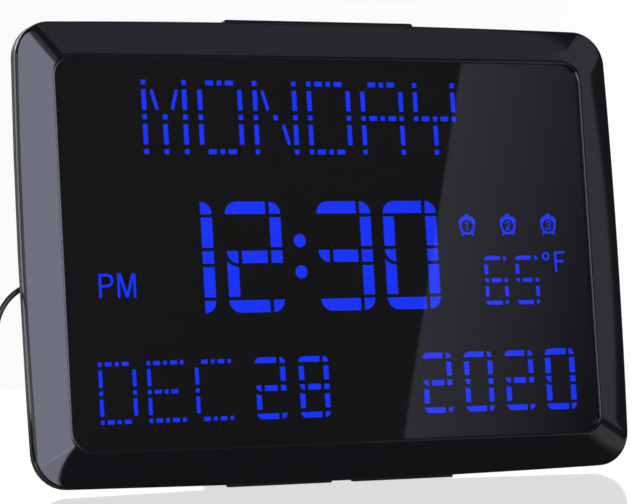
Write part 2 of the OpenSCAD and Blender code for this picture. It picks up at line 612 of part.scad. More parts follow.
// The alarm clock's outside: press knob, bells, round case and feet
function icon_outline(i, cut) = let (half = concat([[1.2 - cut, 5.8 - cut], [1.2 - cut, 4.9 + 0.6 * cut],
        [0.6 - 3.2 * cut, 4.6 - 0.5 * cut], [1.2, 4.5 - cut]], arc([0, 0], 5.2 - cut, 66, 24, 4),
        [[4 - 1.1 * cut, 1.1 + 0.2 * cut]], arc([0, 0], 4.2 - cut, 8, -44, 5),
        [[3.7 - cut, -4.3 + cut], [2.7 + cut, -4.7 + cut]],
        arc([0, 0], 4.2 - cut, -62, -84, 2)), n = len(half))
    [for (p = concat(half, [for (k = [n - 1:-1:0]) [-half[k].x, half[k].y]])) p + icon_centre(i)];
function icon_face(i, cut) = arc(icon_centre(i), 3.15 - cut, 0, 345, 23);
icon_numbers = [
    [[-0.3, -2.2], [0.35, -2.2], [0.35, 2.2], [-0.2, 2.2], [-1.1, 1.5], [-1.1, 0.95], [-0.3, 1.4]],
    [[-1.4, -2.2], [1.4, -2.2], [1.4, -1.6], [-0.5, -1.6], [1.2, 0.1], [1.4, 0.6], [1.4, 1.3],
        [0.7, 2.2], [-0.8, 2.2], [-1.4, 1.5], [-1.4, 0.95], [-0.8, 0.95], [-0.8, 1.25], [-0.5, 1.6],
        [0.4, 1.6], [0.75, 1.2], [0.75, 0.7], [-1.4, -1.5]],
    [[-0.7, -2.2], [0.8, -2.2], [1.4, -1.5], [1.4, -0.5], [1, 0.05], [1.4, 0.6], [1.4, 1.5],
        [0.8, 2.2], [-0.7, 2.2], [-1.3, 1.6], [-1.3, 1.1], [-0.7, 1.1], [-0.7, 1.3], [-0.45, 1.6],
        [0.5, 1.6], [0.8, 1.25], [0.8, 0.7], [0.5, 0.35], [-0.3, 0.35], [-0.3, -0.25], [0.5, -0.25],
        [0.8, -0.6], [0.8, -1.25], [0.5, -1.6], [-0.45, -1.6], [-0.7, -1.3], [-0.7, -1.1],
        [-1.3, -1.1], [-1.3, -1.6]]];
function icon_number(i) = [for (p = icon_numbers[i]) p + icon_centre(i)];

// A drawn outline stretched to the window
function fitted(shape) = [for (p = shape) [p.x * stretch.x, p.y * stretch.y]];

// All windows of the light box
function window_list() = [for (shape = concat(day_list(0), time_list(0), month_list(0), date_list(0),
    year_list(0), degree_list(0), [p_outline(0), m_outline(0), f_outline(0), arc(degree_at, 2.15, 0, 345, 23)],
    [for (i = [0:2]) icon_outline(i, 0)])) fitted(shape)];

// Where each outline starts when a list of outlines is joined
function starts(list, i = 0, at = 0) = i == len(list) ? []
    : concat([at], starts(list, i + 1, at + len(list[i])));

// A flat shape with holes
module pierced(edge, holes) {
    rings = concat([edge], holes);
    at = starts(rings);
    polygon([for (ring = rings, p = ring) p],
        [for (i = [0:len(rings) - 1]) [for (k = [0:len(rings[i]) - 1]) at[i] + k]]);
}

// Flat shapes made pad_t deep at the front of the light box
module label_slab() {
    translate([display_x, 0, display_z]) slab(mask_y0, mask_y0 + pad_t) children();
}

// Solid copies of outlines, laid in the light box
module pads(list) {
    leaned() translate([display_x, 0, display_z]) for (shape = list)
        slab(mask_y0, mask_y0 + pad_t) polygon(fitted(shape));
}

module light_box() color([0.02, 0.02, 0.02]) leaned() {
    w = window_w + 2 * (lens_lap - slip);
    h = window_h + 2 * (lens_lap - slip);
    r = window_r + lens_lap - slip;
    edge = [for (p = outline(w, h, r, 0, 0)) p - [display_x, display_z]];
    difference() {
        translate([display_x, 0, display_z]) slab(mask_y0, mask_y1) pierced(edge, window_list());
        for (p = board_screws_at) rod_y(mask_y1 - board_screw_l - 0.2, mask_y1 + 1, p.x, p.y, screw_r);
    }
    // seats of the board, round its screws
    for (p = board_screws_at) difference() {
        rod_y(mask_y1, board_y0, p.x, p.y, screw_head_r + 0.4);
        rod_y(mask_y1 - 1, board_y0 + 1, p.x, p.y, screw_r);
    }
    slab(mask_y1, board_y0) difference() {
        polygon(outline(w, h, r, 0, 0));
        square([w - 5, h - 5], center = true);
    }
    label_slab() {
        polygon(fitted(p_island(pad_fit)));
        polygon(fitted(arc(degree_at, 1.1 - pad_fit, 0, 345, 23)));
        for (i = [0:2]) pierced(fitted(icon_face(i, pad_fit)), [fitted(icon_number(i))]);
    }
}

pad_fit = 0.04;
lit = [0.1, 0.2, 0.95];

module day_pads() color(lit) pads(day_list(pad_fit));

module time_pads() color(lit) pads(time_list(pad_fit));

module month_pads() color(lit) pads(month_list(pad_fit));

module date_pads() color(lit) pads(date_list(pad_fit));

module year_pads() color(lit) pads(year_list(pad_fit));

module temperature_pads() color(lit) pads(degree_list(pad_fit));

module afternoon_label() color(lit) leaned() label_slab() {
    pierced(fitted(p_outline(pad_fit)), [fitted(p_island(0))]);
    polygon(fitted(m_outline(pad_fit)));
}

module degree_label() color(lit) leaned() label_slab() {
    pierced(fitted(arc(degree_at, 2.15 - pad_fit, 0, 345, 23)), [fitted(arc(degree_at, 1.1, 0, 345, 23))]);
    polygon(fitted(f_outline(pad_fit)));
}

module alarm_icons() color(lit) leaned() label_slab() for (i = [0:2]) {
    pierced(fitted(icon_outline(i, pad_fit)), [fitted(icon_face(i, 0))]);
    polygon(fitted(icon_number(i)));
}

// ---------------------------------------------------------------- electronics

function middle(shape) = [for (k = [0, 1]) (max([for (p = shape) p[k]]) + min([for (p = shape) p[k]])) / 2];

module display_board() color([0.05, 0.25, 0.12]) leaned() difference() {
    slab(board_y0, board_y1) round_rect(board_w, board_h, window_r);
    for (p = board_screws_at) rod_y(board_y0 - 1, board_y1 + 1, p.x, p.y, screw_r + slip);
}

// One light under each bar
module display_leds() color([0.9, 0.9, 0.75]) leaned()
    for (shape = window_list()) {
        at = middle(shape) + [display_x, display_z];
        block([at.x - 1, board_y0 - led_t, at.y - 0.6], [at.x + 1, board_y0, at.y + 0.6]);
    }

// A part on the back of the display board: middle, width, height and thickness
module board_part(x, z, w, h, t) {
    block([x - w / 2, board_y1, z - h / 2], [x + w / 2, board_y1 + t, z + h / 2]);
}

module clock_chip() color([0.1, 0.1, 0.1]) leaned() board_part(20, 10, 14, 14, 1.6);

module driver_chips() color([0.1, 0.1, 0.1]) leaned()
    for (x = [-75, -35, 70, 100]) board_part(x, 20, 7.5, 17.5, 2.4);

module clock_crystal() color([0.75, 0.75, 0.78]) leaned() board_part(20, -8, 11, 4.6, 3.5);

module board_capacitors() color([0.15, 0.15, 0.2]) leaned()
    for (z = [2, 14]) rod_y(board_y1, board_y1 + 8, -92, z, 4);

module thermistor() color([0.3, 0.15, 0.1]) leaned() board_part(60, -70, 3.2, 5, 2.5);

module dc_jack() color([0.08, 0.08, 0.08]) leaned() difference() {
    union() {
        block([side_x + shell + pocket, board_y1, jack_z - 5.5], [side_x + 16, jack_y + 5.5, jack_z + 5.5]);
        rod_x(side_x, side_x + shell + 1, jack_y, jack_z, jack_r);
    }
    difference() {
        rod_x(side_x - 1, side_x + 10.5, jack_y, jack_z, socket_r);
        rod_x(side_x + 1.8, side_x + 11, jack_y, jack_z, plug_pin_r);
    }
}

module coin_cell() color([0.8, 0.8, 0.82]) leaned()
    rod_y(box_y1 - door_t - cell_t - pocket, box_y1 - door_t - pocket,
        door_x0 + door_w / 2 - 1, door_z, cell_r);

// A bent strip against the cell pad's inner side, and a leaf beside it
module cell_contacts() color([0.85, 0.75, 0.4]) leaned() {
    y = box_y1 - door_pad_t - 1.4;
    for (s = [-1, 1]) block([door_x0 + door_w / 2 - 1 - 4, y - 0.4, door_z + s * 6 - 2],
        [door_x0 + door_w / 2 - 1 + 4, y, door_z + s * 6 + 2]);
}

module battery_door() color([0.07, 0.07, 0.075]) leaned() {
    block([door_x0, box_y1 - door_t, door_z - door_h / 2], [box_w / 2, box_y1, door_z + door_h / 2]);
    for (s = [-1, 1]) block([door_x0, box_y1 - door_t, door_z + s * door_h / 2 - tongue],
        [box_w / 2 - 3, box_y1 - door_t / 2 - pocket / 2, door_z + s * door_h / 2 + tongue]);
    for (i = [0:3]) block([box_w / 2 - 8 - 2.2 * i, box_y1 - 0.1, door_z - 8],
        [box_w / 2 - 7 - 2.2 * i, box_y1 + 0.6, door_z + 8]);
}

module alarm_speaker() color([0.2, 0.2, 0.2]) leaned() {
    rod_y(plate_y0 - 3, plate_y0 - slip, speaker_x, speaker_z, speaker_r);
    rod_y(plate_y0 - speaker_t, plate_y0 - 2.9, speaker_x, speaker_z, speaker_r - 4.5);
}

// A bar across the speaker's magnet, on the ring that centres it
module speaker_clamp() color([0.6, 0.6, 0.62]) leaned()
    block([speaker_x - speaker_r - 2, plate_y0 - speaker_t - 1, speaker_z - 3],
        [speaker_x + speaker_r + 2, plate_y0 - speaker_t, speaker_z + 3]);

module key_board() color([0.05, 0.25, 0.12]) leaned() difference() {
    slab(key_board_y0, key_board_y1) translate([0, key_z])
        square([2 * key_post_x + 8, 2 * key_post_z + 8], center = true);
    for (sx = [-1, 1], sz = [-1, 1])
        rod_y(key_board_y0 - 1, key_board_y1 + 1, sx * key_post_x, key_z + sz * key_post_z, 1.3);
}

module key_switches() color([0.12, 0.12, 0.12]) leaned() for (i = [0:4])
    difference() {
        translate([key_x0 + i * key_pitch, 0, key_z])
            block([-tact / 2, key_board_y1, -tact / 2], [tact / 2, key_board_y1 + tact_h, tact / 2]);
        rod_y(key_board_y1 + tact_h - stem_in - key_travel - 0.7, key_board_y1 + tact_h + 1,
            key_x0 + i * key_pitch, key_z, stem_r + slip);
    }

module key_board_screws() color([0.7, 0.7, 0.72]) leaned() for (sx = [-1, 1], sz = [-1, 1]) {
    rod_y(key_board_y0 - 1.4, key_board_y0, sx * key_post_x, key_z + sz * key_post_z, 2.2);
    rod_y(key_board_y0, key_board_y0 + 6, sx * key_post_x, key_z + sz * key_post_z, 0.85);
}

// A key: its cap stands out of the back plate, its skirt stays behind it
module key(i) {
    x = key_x0 + i * key_pitch;
    leaned() {
        slab(plate_y0 - slot_gap, box_y1 + key_proud) translate([x, key_z]) stadium(key_w, key_h);
        slab(plate_y0 - slot_gap - key_skirt, plate_y0 - slot_gap) translate([x, key_z])
            stadium(key_w + 2, key_h + 2);
        rod_y(key_board_y1 + tact_h - stem_in, plate_y0 - slot_gap - key_skirt, x, key_z, stem_r);
    }
}

module menu_key() color([0.1, 0.1, 0.1]) key(0);

module minus_key() color([0.1, 0.1, 0.1]) key(1);

module plus_key() color([0.1, 0.1, 0.1]) key(2);

module alarm_key() color([0.1, 0.1, 0.1]) key(3);

module dimmer_key() color([0.1, 0.1, 0.1]) key(4);

// Press bar: a long cap through the seam, a foot at each end and two blades over the switches
module snooze_bar() color([0.02, 0.02, 0.02]) leaned() {
    slab(bar_y0, bar_y1) polygon([[-bar_w / 2, bar_z0], [bar_w / 2, bar_z0],
        [bar_w / 2, top_z + bar_proud - 0.9], [bar_w / 2 - 0.9, top_z + bar_proud - 0.1],
        [0, top_z + bar_proud], [-bar_w / 2 + 0.9, top_z + bar_proud - 0.1],
        [-bar_w / 2, top_z + bar_proud - 0.9]]);
    for (s = [-1, 1]) {
        block([s * bar_w / 2 - bar_foot_x, bar_y0 + 1.2, bar_z0],
            [s * bar_w / 2 + bar_foot_x, flange_y0 - slot_gap, bar_foot_z1]);
        block([s * press_switch_x - 2, press_y0 - press_switch_t, press_z1 + bar_travel + slot_gap],
            [s * press_switch_x + 2, press_y0 - slot_gap, bar_z0 + 0.1]);
        rod_z(press_z1 - stem_in, press_z1 + bar_travel + slot_gap + 0.1, s * press_switch_x,
            press_y0 - press_switch_t / 2, press_stem_r);
    }
}

module snooze_board() color([0.05, 0.25, 0.12]) leaned()
    block([-press_switch_x - 10, press_y0, press_z0], [press_switch_x + 10, press_y1, press_z0 + 8]);

module snooze_switches() color([0.7, 0.7, 0.72]) leaned() for (s = [-1, 1]) difference() {
    block([s * press_switch_x - 2.4, press_y0 - press_switch_t, press_z1 - 3.5],
        [s * press_switch_x + 2.4, press_y0, press_z1]);
    rod_z(press_z1 - stem_in - bar_travel - 0.7, press_z1 + 1, s * press_switch_x,
        press_y0 - press_switch_t / 2, press_stem_r + slip);
}

// Flat cable from the key board's front down to the display board's back, in an open S
module ribbon_cable() color([0.85, 0.85, 0.8]) leaned() {
    t = 0.4;
    r = 4;
    a = 50;
    ya = key_board_y0 - t / 2;
    yb = board_y1 + t / 2;
    z = key_z - key_post_z - 1;
    run = (ya - yb - 2 * r * (1 - cos(a))) / sin(a);
    drop = 2 * r * sin(a) + run * cos(a);
    translate([2, 0, 0]) rotate([90, 0, 90]) linear_extrude(14) polygon(band(concat([[ya, z + 6]],
        arc([ya - r, z], r, 0, -a), arc([yb + r, z - drop], r, 180 - a, 180), [[yb, z - drop - 6]]), t));
}

// ---------------------------------------------------------------- fasteners, feet and stand

module board_screws() color([0.7, 0.7, 0.72]) leaned() for (p = board_screws_at) {
    difference() {
        rod_y(board_y1, board_y1 + 1.4, p.x, p.y, screw_head_r);
        for (a = [0, 90]) translate([p.x, 0, p.y]) rotate([0, a, 0])
            block([-1.6, board_y1 + 0.8, -0.35], [1.6, board_y1 + 2, 0.35]);
    }
    rod_y(mask_y1 - board_screw_l, board_y1, p.x, p.y, screw_r - 0.02);
}

module case_screws() color([0.15, 0.15, 0.16]) leaned() for (p = case_screws_at) {
    difference() {
        rod_y(rim_y1 - 0.9, rim_y1 - 0.1, p.x, p.y, screw_head_r);
        for (a = [0, 90]) translate([p.x, 0, p.y]) rotate([0, a, 0])
            block([-1.6, rim_y1 - 0.5, -0.35], [1.6, rim_y1, 0.35]);
    }
    rod_y(bezel_drop + 1.5, rim_y1 - 0.9, p.x, p.y, screw_r - 0.02);
}

// A foot's block, let into the rim's bottom
module foot_block(s) {
    z = -top_z + side_bow * pow(2 * (foot_x + foot_w / 2) / frame_w, 2) + foot_in;
    y0 = rim_y0 + 0.5;
    block([s * foot_x - foot_w / 2, y0, -top_z - 3], [s * foot_x + foot_w / 2, y0 + foot_d, z]);
}

module front_feet() color([0.1, 0.1, 0.1]) difference() {
    leaned() for (s = [-1, 1]) foot_block(s);
    below_ground();
}

// What lies under the ground, to cut the feet flat where they stand
module below_ground() {
    block([-frame_w, -frame_w, -frame_h], [frame_w, frame_w, 0]);
}

// Draws a piece of the stand where it is swung out; it hangs straight down from the hinge
module swung_out() {
    leaned() translate([0, hinge_y, hinge_z]) rotate([leg_open, 0, 0]) children();
}

module stand_leg() color([0.07, 0.07, 0.075]) swung_out() difference() {
    union() {
        rod_x(-leg_w / 2, leg_w / 2, 0, 0, barrel_r);
        block([-leg_w / 2, leg_front, 3 - leg_l], [leg_w / 2, leg_front + leg_t, 0]);
        for (i = [-3:2:3]) block([i * leg_w / 7 - 0.9, leg_front + leg_t - 0.1, foot_l - leg_l],
            [i * leg_w / 7 + 0.9, barrel_r - 0.2, 0]);
        for (k = [1, 2]) block([-leg_w / 2 + 4, leg_front + leg_t - 0.1, -k * leg_l / 3 - 0.9],
            [leg_w / 2 - 4, barrel_r - 0.8, -k * leg_l / 3 + 0.9]);
    }
    rod_x(-leg_w, leg_w, 0, 0, pin_r + 0.06);
}

module stand_pin() color([0.75, 0.75, 0.78]) leaned()
    rod_x(-recess_w / 2 - ear_t + 1.2, recess_w / 2 + ear_t - 1.2, hinge_y, hinge_z, pin_r);

// Rubber shoe on the stand's end, cut flat where it meets the ground
module stand_foot() color([0.1, 0.1, 0.1]) difference() {
    swung_out() difference() {
        block([-leg_w / 2 + 2, leg_front - 0.1, -leg_l - 3], [leg_w / 2 - 2, foot_back, foot_l - 1.5 - leg_l]);
        block([-leg_w / 2 - 1, leg_front - 1, 3 - leg_l - 0.02],
            [leg_w / 2 + 1, leg_front + leg_t + 0.02, foot_l]);
    }
    below_ground();
}

// ---------------------------------------------------------------- lead and mains adapter

module lead_plug() color([0.05, 0.05, 0.05]) leaned() {
    x1 = side_x - 0.4;
    rod_x(x1 - plug_l, x1, jack_y, jack_z, plug_r);
    difference() {
        rod_x(x1, side_x + 9.5, jack_y, jack_z, plug_barrel_r);
        rod_x(x1 + 0.2, side_x + 10, jack_y, jack_z, plug_pin_r + slip);
    }
}

module plug_relief() color([0.05, 0.05, 0.05]) leaned() translate([exit_x, jack_y, jack_z]) rotate([0, 90, 0])
    difference() {
        cylinder(h = relief_l, r1 = cord_r + 0.6, r2 = plug_r - 1.2);
        for (i = [0:2]) translate([0, 0, 2 + 2.6 * i]) difference() {
            cylinder(h = 1.1, r = plug_r);
            cylinder(h = 1.1, r = cord_r + 0.5);
        }
    }

// Directions along a line of points
function along(line) = let (n = len(line)) [for (i = [0:n - 1])
    let (d = line[min(n - 1, i + 1)] - line[max(0, i - 1)]) d / norm(d)];
// Side vectors carried along a line without twist
function carried(t, i, side) = let (s = side - (side * t[i]) * t[i], u = s / norm(s))
    i == len(t) - 1 ? [u] : concat([u], carried(t, i + 1, u));

// A tube of radius r along a line, with sides facets
module tube(line, r, sides) {
    n = len(line);
    t = along(line);
    side = carried(t, 0, [0.01, 1, 0.02]);
    polyhedron([for (i = [0:n - 1], k = [0:sides - 1])
            line[i] + r * (cos(360 * k / sides) * side[i] + sin(360 * k / sides) * cross(t[i], side[i]))],
        concat([[for (k = [sides - 1:-1:0]) k]],
            [for (i = [0:n - 2], k = [0:sides - 1], half = [0, 1])
                let (a = i * sides + k, b = i * sides + (k + 1) % sides)
                half == 0 ? [a, b, b + sides] : [a, b + sides, a + sides]],
            [[for (k = [0:sides - 1]) (n - 1) * sides + k]]));
}

// Lead from the plug to the coil
module lead_run() color([0.05, 0.05, 0.05]) translate([0, ground_y, 0]) tube(route_in, cord_r, 8);

// Lead from the coil to the adapter
module lead_end() color([0.05, 0.05, 0.05]) translate([0, ground_y, 0]) tube(route_out, cord_r, 8);

// The coil spirals in and out again at a steady rate, layer on layer, and climbs in the half
// turn round each place where it reverses
layer_loops = coil_loops / coil_layers;
function fold(u) = let (v = u / layer_loops, k = floor(v)) k % 2 == 0 ? v - k : k + 1 - v;
function climb(u, k = 1) = k >= coil_layers ? 0
    : min(1, max(0, (u - k * layer_loops + 0.25) * 2)) + climb(u, k + 1);
function coil_point(u) = let (r = coil_r - fold(u) * layer_loops * coil_step)
    coil_at + [r * cos(360 * u), r * sin(360 * u), climb(u) * coil_step];
function coil_line() = concat([coil_point(0) - [0, cord_d, 0]],
    [for (i = [0:coil_loops * coil_rings]) coil_point(i / coil_rings)],
    [coil_point(coil_loops) + [0, cord_d, 0]]);
// Least distance between points of the coil that are more than a third of a loop apart
function least_gap(line, apart) = min([for (i = [0:len(line) - 1 - apart])
    min([for (k = [i + apart:len(line) - 1]) norm(line[i] - line[k])])]);

module lead_coil() color([0.05, 0.05, 0.05]) translate([0, ground_y, 0]) {
    line = coil_line();
    echo(coil_gap = least_gap(line, coil_rings / 3) - cord_d);
    tube(line, cord_r, 6);
}

// A strap once round the whole bundle
module coil_tie() color([0.15, 0.15, 0.15]) translate([coil_at.x, coil_at.y + ground_y, 0]) {
    inner = coil_r - layer_loops * coil_step - cord_r - 0.3;
    outer = coil_r + cord_r + 0.3;
    top = coil_at.z + (coil_layers - 1) * coil_step + cord_r + 0.2;
    difference() {
        block([-outer - tie_t, -tie_w / 2, 0], [-inner + tie_t, tie_w / 2, top + tie_t]);
        block([-outer, -tie_w, tie_t], [-inner, tie_w, top]);
    }
}

module adapter_grommet() color([0.05, 0.05, 0.05])
    translate([lead_last.x, lead_last.y + ground_y, adapter.z / 2]) rotate([-90, 0, 0])
    cylinder(h = grommet_l, r1 = cord_r + 0.5, r2 = 3.6);

module adapter_case() color([0.06, 0.06, 0.06]) translate([adapter_at.x, adapter_at.y + ground_y, 0])
    translate([0, adapter.y, adapter.z / 2]) rotate([90, 0, 0]) linear_extrude(adapter.y)
    translate([adapter.x / 2, 0]) round_rect(adapter.x, adapter.z, 4);

module adapter_blades() color([0.75, 0.75, 0.78])
    translate([adapter_at.x, adapter_at.y + ground_y, adapter.z / 2])
    for (s = [-1, 1]) translate([-blade.x, adapter.y / 2 + s * blade_span / 2 - blade.y / 2, -blade.z / 2])
        cube(blade);

front_frame();
rear_cover();
display_lens();
light_box();
day_pads();
time_pads();
afternoon_label();
month_pads();
date_pads();
year_pads();
temperature_pads();
degree_label();
alarm_icons();
display_board();
display_leds();
clock_chip();
driver_chips();
clock_crystal();
board_capacitors();
thermistor();
dc_jack();
coin_cell();
cell_contacts();
battery_door();
alarm_speaker();
speaker_clamp();
key_board();
key_switches();
key_board_screws();
menu_key();
minus_key();
plus_key();
alarm_key();
dimmer_key();
snooze_bar();
snooze_board();
snooze_switches();
ribbon_cable();
board_screws();
case_screws();
front_feet();
stand_leg();
stand_pin();
stand_foot();
lead_plug();
plug_relief();
lead_run();
lead_coil();
coil_tie();
lead_end();
adapter_grommet();
adapter_case();
adapter_blades();
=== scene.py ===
"""Looks of a lit day clock on its stand, with its press bar, keys, mains lead and adapter."""

import json
import math

import bmesh
import bpy
import numpy as np
from bpy.props import FloatProperty, FloatVectorProperty, IntProperty, PointerProperty
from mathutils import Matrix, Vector


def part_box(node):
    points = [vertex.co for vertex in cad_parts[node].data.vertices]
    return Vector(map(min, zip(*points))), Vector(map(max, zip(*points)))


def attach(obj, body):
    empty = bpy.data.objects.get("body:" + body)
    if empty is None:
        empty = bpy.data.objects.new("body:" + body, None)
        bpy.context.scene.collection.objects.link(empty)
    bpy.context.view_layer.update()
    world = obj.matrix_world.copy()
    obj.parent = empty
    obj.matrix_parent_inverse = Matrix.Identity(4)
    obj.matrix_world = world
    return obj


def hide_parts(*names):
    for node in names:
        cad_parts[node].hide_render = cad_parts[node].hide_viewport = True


bl_info = {
    "name": "Lit Day Clock",
    "version": (1, 0, 0),
    "blender": (4, 5, 0),
    "location": "View3D > Sidebar > Day Clock",
    "description": "Builds the shells, display, keys, stand, lead and stage of a lit day clock",
    "category": "Add Mesh",
}

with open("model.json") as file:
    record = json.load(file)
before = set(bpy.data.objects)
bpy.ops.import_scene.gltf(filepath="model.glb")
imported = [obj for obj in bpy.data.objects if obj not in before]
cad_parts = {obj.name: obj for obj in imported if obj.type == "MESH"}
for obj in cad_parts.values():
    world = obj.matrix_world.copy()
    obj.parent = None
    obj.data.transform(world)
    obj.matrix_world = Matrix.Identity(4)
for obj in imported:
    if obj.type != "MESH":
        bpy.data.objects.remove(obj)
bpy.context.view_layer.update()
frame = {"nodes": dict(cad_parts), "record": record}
NODES = frame["nodes"]
MOUNTS = {mount["name"]: mount for mount in frame["record"]["mounts"]}
BODY_OF = {n: b for b, members in frame["record"]["behaviour"]["bodies"].items() for n in members}

MM = 0.001

# The clock stands tipped back by LEAN about its window's middle. The lens's middle lies
# LENS_DEPTH behind the plane of the window's lip, and that plane's middle is LIP_CENTRE.
HOOK_AXIS = MOUNTS["keyhole_left"]["axis"]
LEAN = math.atan2(-HOOK_AXIS[2], HOOK_AXIS[1])
LENS_DEPTH = 2.35 * MM
LENS_CENTRE = sum(np.array(corner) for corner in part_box("display_lens")) / 2
LIP_CENTRE = LENS_CENTRE - np.array([0, LENS_DEPTH * math.cos(LEAN), -LENS_DEPTH * math.sin(LEAN)])

# Sizes of the frame's section that no setting holds
CROWN = 0.12 * MM          # rise of the bezel's middle over a straight slope
EDGE_FALL = 0.85 * MM      # from the bezel's outer edge back to where the side wall starts
REAR_EDGE = 0.25 * MM      # rounding of the side wall's rear edge
FACE_WALL = 0.6 * MM       # how much the bezel's inner face lies behind its outer edge's drop
PRY_LOW, PRY_HIGH = -93.4 * MM, -89.6 * MM   # pry slots in the side walls, from the window's middle

# How finely the round shapes are drawn
CORNER_STEPS, SIDE_STEPS = 28, 40
LOOP_STEPS = 40
LEAD_SIDES = 14


def leaned(points):
    """Upright places, in metres from the lip's middle, tipped back and put in the world."""
    p = np.asarray(points, float)
    y = p[..., 1] * math.cos(LEAN) + p[..., 2] * math.sin(LEAN)
    z = -p[..., 1] * math.sin(LEAN) + p[..., 2] * math.cos(LEAN)
    return np.stack([p[..., 0], y, z], -1) + LIP_CENTRE


# ---------------------------------------------------------------- settings

def metres(name, about, value):
    """A length setting."""
    return FloatProperty(name=name, description=about, default=value, min=0, unit="LENGTH",
                         precision=5)


def colour(name, about, value):
    """A colour setting, in linear values."""
    return FloatVectorProperty(name=name, description=about, default=value, min=0, max=1,
                               subtype="COLOR", precision=4)


class ShellSettings(bpy.types.PropertyGroup):
    """Sizes of the front frame and of the edges of the moulded parts."""
    width: metres("Width", "Frame between its corners", 0.307)
    height: metres("Height", "Frame between its corners", 0.2126)
    corner: metres("Corner", "Radius of the outer corners", 0.016)
    bow: metres("Bow", "How far each side bows out", 0.0017)
    window_width: metres("Window width", "Display window", 0.2732)
    window_height: metres("Window height", "Display window", 0.18)
    window_corner: metres("Window corner", "Radius of the window's corners", 0.0095)
    lip: metres("Lip", "Rounding of the window's lip", 0.0007)
    lip_depth: metres("Lip depth", "How deep the lens lies behind the lip", 0.0016)
    drop: metres("Drop", "How far the outer edge lies behind the lip", 0.0038)
    edge: metres("Edge", "Rounding of the frame's outer edge", 0.00115)
    side: metres("Side", "Back of the frame's side wall, behind the lip", 0.0077)
    wall: metres("Wall", "Thickness of the frame's wall", 0.0022)
    bar_width: metres("Bar slot", "Width of the press bar's slot", 0.0996)
    bar_front: metres("Bar front", "Front of the press bar's slot, behind the lip", 0.0048)
    moulded_edge: metres("Moulded edge", "Rounding of moulded edges", 0.00035)


class FinishSettings(bpy.types.PropertyGroup):
    """Colours of the finishes."""
    frame_black: colour("Frame", "Front frame", (0.004, 0.004, 0.005))
    cover_black: colour("Cover", "Rear cover, stand and door", (0.016, 0.016, 0.0175))
    light_box: colour("Light box", "Inside of the display", (0.002, 0.002, 0.0022))
    lit: colour("Lit", "Lit bars of the display", (0.0006, 0.025, 0.9))
    lens: colour("Lens", "Tint of the lens", (0.93, 0.93, 0.95))
    rubber: colour("Rubber", "Feet and lead", (0.012, 0.012, 0.013))


class LeadSettings(bpy.types.PropertyGroup):
    """Sizes of the lead and its coil."""
    diameter: metres("Diameter", "Thickness of the lead", 0.0026)
    coil_radius: metres("Coil radius", "Outermost loop", 0.0203)
    coil_step: metres("Coil step", "From one loop to the next", 0.0031)
    loops: IntProperty(name="Loops", description="Loops in the coil", default=13, min=4, max=24)
    layers: IntProperty(name="Layers", description="Layers of loops", default=4, min=2, max=4)


class StageSettings(bpy.types.PropertyGroup):
    """Camera and light."""
    lens: FloatProperty(name="Lens", description="Focal length on a 36 mm wide film",
                        default=179.707, min=20, unit="CAMERA")
    camera_place: FloatVectorProperty(name="Camera", description="From the lip's middle to the camera",
                                      default=(-0.65314, -1.35057, 0.03774), subtype="XYZ",
                                      unit="LENGTH")
    turn: FloatProperty(name="Turn", description="How far the camera is turned right",
                        default=math.radians(25.4987), subtype="ANGLE")
    tilt: FloatProperty(name="Tilt", description="Camera below level",
                        default=math.radians(1.4882), subtype="ANGLE")
    front_light: FloatProperty(name="Front light", description="Brightness of the front soft boxes",
                               default=4.9, min=0)
    strip_light: FloatProperty(name="Strip light", description="Brightness of the strip beside them",
                               default=0.75, min=0)
    card_light: FloatProperty(name="Card light", default=0.45, min=0,
                              description="Brightness of the card mirrored in the lens")
    card_edge: FloatProperty(name="Card edge", description="From the mirrored line of sight to the card",
                             default=0.1195, unit="LENGTH")
    card_slant: FloatProperty(name="Card slant", description="Slant of the card's edge",
                              default=math.radians(15.4), subtype="ANGLE")
    light_tint: colour("Light", "Tint of the lamps", (0.78, 0.79, 1.0))
    backdrop: FloatProperty(name="Backdrop", description="Brightness behind the floor",
                            default=0.96, min=0)


SETTINGS = {"shell": ShellSettings, "finish": FinishSettings, "lead": LeadSettings,
            "stage": StageSettings}


def settings(name):
    """One group of settings, as the scene holds it."""
    return getattr(bpy.context.scene.day_clock, name)


# ---------------------------------------------------------------- meshes

def sheet_faces(rows, columns, close_rows=False, close_columns=False):
    """Four-sided faces of a grid of points held row by row: each joins a point to the next in
    its row and in the row after."""
    r = np.arange(rows if close_rows else rows - 1)[:, None]
    c = np.arange(columns if close_columns else columns - 1)[None, :]
    r2, c2 = (r + 1) % rows, (c + 1) % columns
    corners = [r * columns + c, r * columns + c2, r2 * columns + c2, r2 * columns + c]
    return np.stack([np.broadcast_to(k, (r.size, c.size)) for k in corners], -1).reshape(-1, 4)


def link_object(name, data):
    """A new object in the scene."""
    made = bpy.data.objects.new(name, data)
    bpy.context.scene.collection.objects.link(made)
    return made


def new_piece(name, points, faces, stands_for, coat, sharp=35, caps=()):
    """A smooth mesh of the given points, four-sided faces and caps, on the body of
    the CAD node it stands for."""
    mesh = bpy.data.meshes.new(name)
    corners = np.reshape(points, (-1, 3)).tolist()
    mesh.from_pydata(corners, [], faces.tolist() + [list(cap) for cap in caps])
    mesh.update()
    merge_points(mesh)
    finish_mesh(mesh, coat, sharp)
    piece = link_object(name, mesh)
    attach(piece, BODY_OF[stands_for])
    return piece


def merge_points(mesh):
    """Joins points that lie together, and points all faces outward."""
    work = bmesh.new()
    work.from_mesh(mesh)
    bmesh.ops.remove_doubles(work, verts=work.verts, dist=1e-6)
    bmesh.ops.dissolve_degenerate(work, dist=1e-7, edges=work.edges)
    bmesh.ops.recalc_face_normals(work, faces=work.faces)
    work.to_mesh(mesh)
    work.free()


def finish_mesh(mesh, coat, sharp):
    """Gives a mesh one material and smooth faces, with edges sharper than an angle kept sharp."""
    mesh.materials.clear()
    mesh.materials.append(coat)
    mesh.shade_smooth()
    mesh.set_sharp_from_angle(angle=math.radians(sharp))


